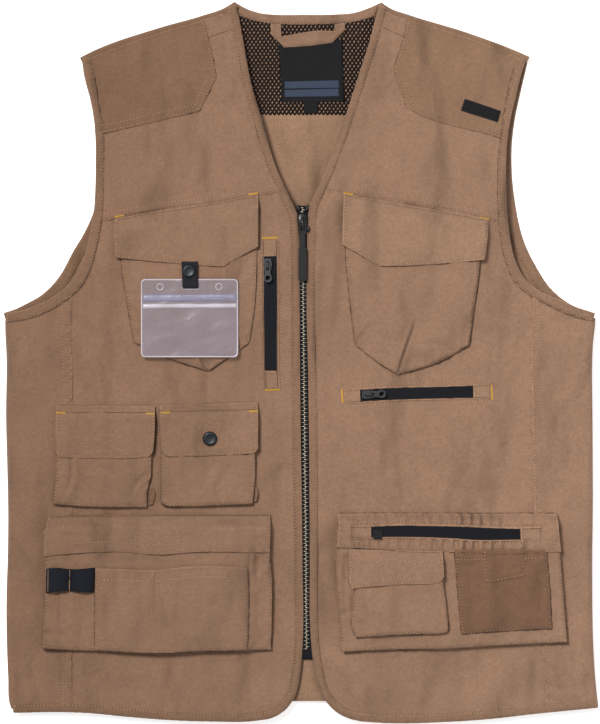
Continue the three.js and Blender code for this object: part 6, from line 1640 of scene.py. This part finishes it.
strap = outline([(182, 262), (198, 262)], [(183, 288.4), (198.6, 288.4)], [(182.6, 278)], [(198.2, 278)])
strapStep = lambda x, y, reach: 0.8 * ease((reach["top"] - 12) / 2) - 0.5 * ease((reach["top"] - 17) / 1.5)
lay("badgeStrap", {"nodes": ["badge_strap"], "slot": "webbing", "sides": strap, "level": 10.2,
                   "rumple": 0.2, "extra": strapStep, "wall": 1.2, "step": 1.2, "rise": [("edge", 1.2, 0.4)]})
sew([(183.5, 280.4), (197.6, 280.4)], thread="black", pitch=2, holes=False)
studCap("badgeStud", {"node": "badge_snap", "middle": (189.2, 271.4), "level": 11.0,
                      "profile": [(r * 0.93, h) for r, h in capProfile]})
print("badge holder made")


# Shoulder label, left bare

shoulderLabel = {"nodes": ["shoulder_label"], "slot": "label", "onFront": True, "level": 3.0,
                 "sides": outline([(464.9, 98.9), (500.5, 111)], [(461.1, 110.5), (497.5, 122)])}
labelPiece("shoulderLabel", shoulderLabel)
sewSides(shoulderLabel, allSides, 0.9, thread="black", holes=False, pitch=2.2)

looseEnds = [
    [(268, 650), (271, 647), (269.5, 644.5)], [(559.5, 551), (563, 553), (562.4, 556)],
    [(319, 577), (324, 579.5), (328, 579)], [(266, 646), (262, 644.5), (260, 646)],
    [(294, 456), (296.5, 452), (296, 449)],
]
for path in looseEnds:
    sew(path, thread="pale", pitch=1.6, share=1.3, holes=False, wide=0.5, high=0.9)

threadPieces = {
    "tanStitches": ("tan", "thread"), "paleStitches": ("pale", "paleThread"), "darkStitches": ("dark", "darkThreadAndShadowLines"),
    "yellowTacks": ("yellow", "yellow"), "blackStitches": ("black", "blackThread"),
}
for name, (thread, finishName) in threadPieces.items():
    threadMesh(name, threadRows[thread], finishName)
needleMesh("needleHoleShades")
print("thread sewn")


# Stage: pale floor, soft lights from above and the photo's camera

stage = {"floor": 4.0, "cameraHigh": 4.0, "middleHigh": 0.014, "sensor": 36}
grid = np.linspace(-stage["floor"] / 2, stage["floor"] / 2, 3) * 1000
floorX, floorY = np.meshgrid(grid, grid)
floorPoints = np.stack([floorX, floorY, 0 * floorX - 0.4], -1).reshape(-1, 3)
floor = makeMesh("floor", floorPoints, [np.array([(0, 1, 4, 3), (1, 2, 5, 4), (3, 4, 7, 6), (4, 5, 8, 7)])])
floor.data.materials.append(plainFinish("paleFloor", (243, 243, 243), 0.9, 40.0, 0.01, 0.02, 0.0, 0.1))
glow = floor.data.materials[0].node_tree.nodes["Principled BSDF"].inputs
glow["Emission Color"].default_value = (1, 1, 1, 1)
glow["Emission Strength"].default_value = 0.55

lights = {
    "key": {"place": (-1.2, 1.35, 3.45), "size": 0.9, "power": 150, "colour": (1, 0.985, 0.955)},
    "fill": {"place": (2.4, -1.2, 3.0), "size": 2.4, "power": 30, "colour": (0.97, 0.985, 1)},
}
for name, spec in lights.items():
    lamp = bpy.data.lights.new(name, "AREA")
    lamp.size = spec["size"]
    lamp.energy = spec["power"]
    lamp.color = spec["colour"]
    holder = bpy.data.objects.new(name, lamp)
    bpy.context.scene.collection.objects.link(holder)
    holder.location = spec["place"]
    toward = -holder.location
    holder.rotation_euler = toward.to_track_quat("-Z", "Y").to_euler()

world = bpy.data.worlds.new("room")
world.use_nodes = True
world.node_tree.nodes["Background"].inputs["Color"].default_value = (1, 1, 1, 1)
world.node_tree.nodes["Background"].inputs["Strength"].default_value = 0.36
bpy.context.scene.world = world
bpy.context.scene.view_settings.view_transform = "Standard"

camera = bpy.data.objects.new("camera", bpy.data.cameras.new("camera"))
bpy.context.scene.collection.objects.link(camera)
camera.location = (photo["shiftX"] / 1000, photo["shiftY"] / 1000, stage["cameraHigh"])
camera.data.sensor_width = stage["sensor"]
camera.data.lens = stage["sensor"] * (stage["cameraHigh"] - stage["middleHigh"]) / (photo["high"] / 1000)
bpy.context.scene.camera = camera
print("stage set")
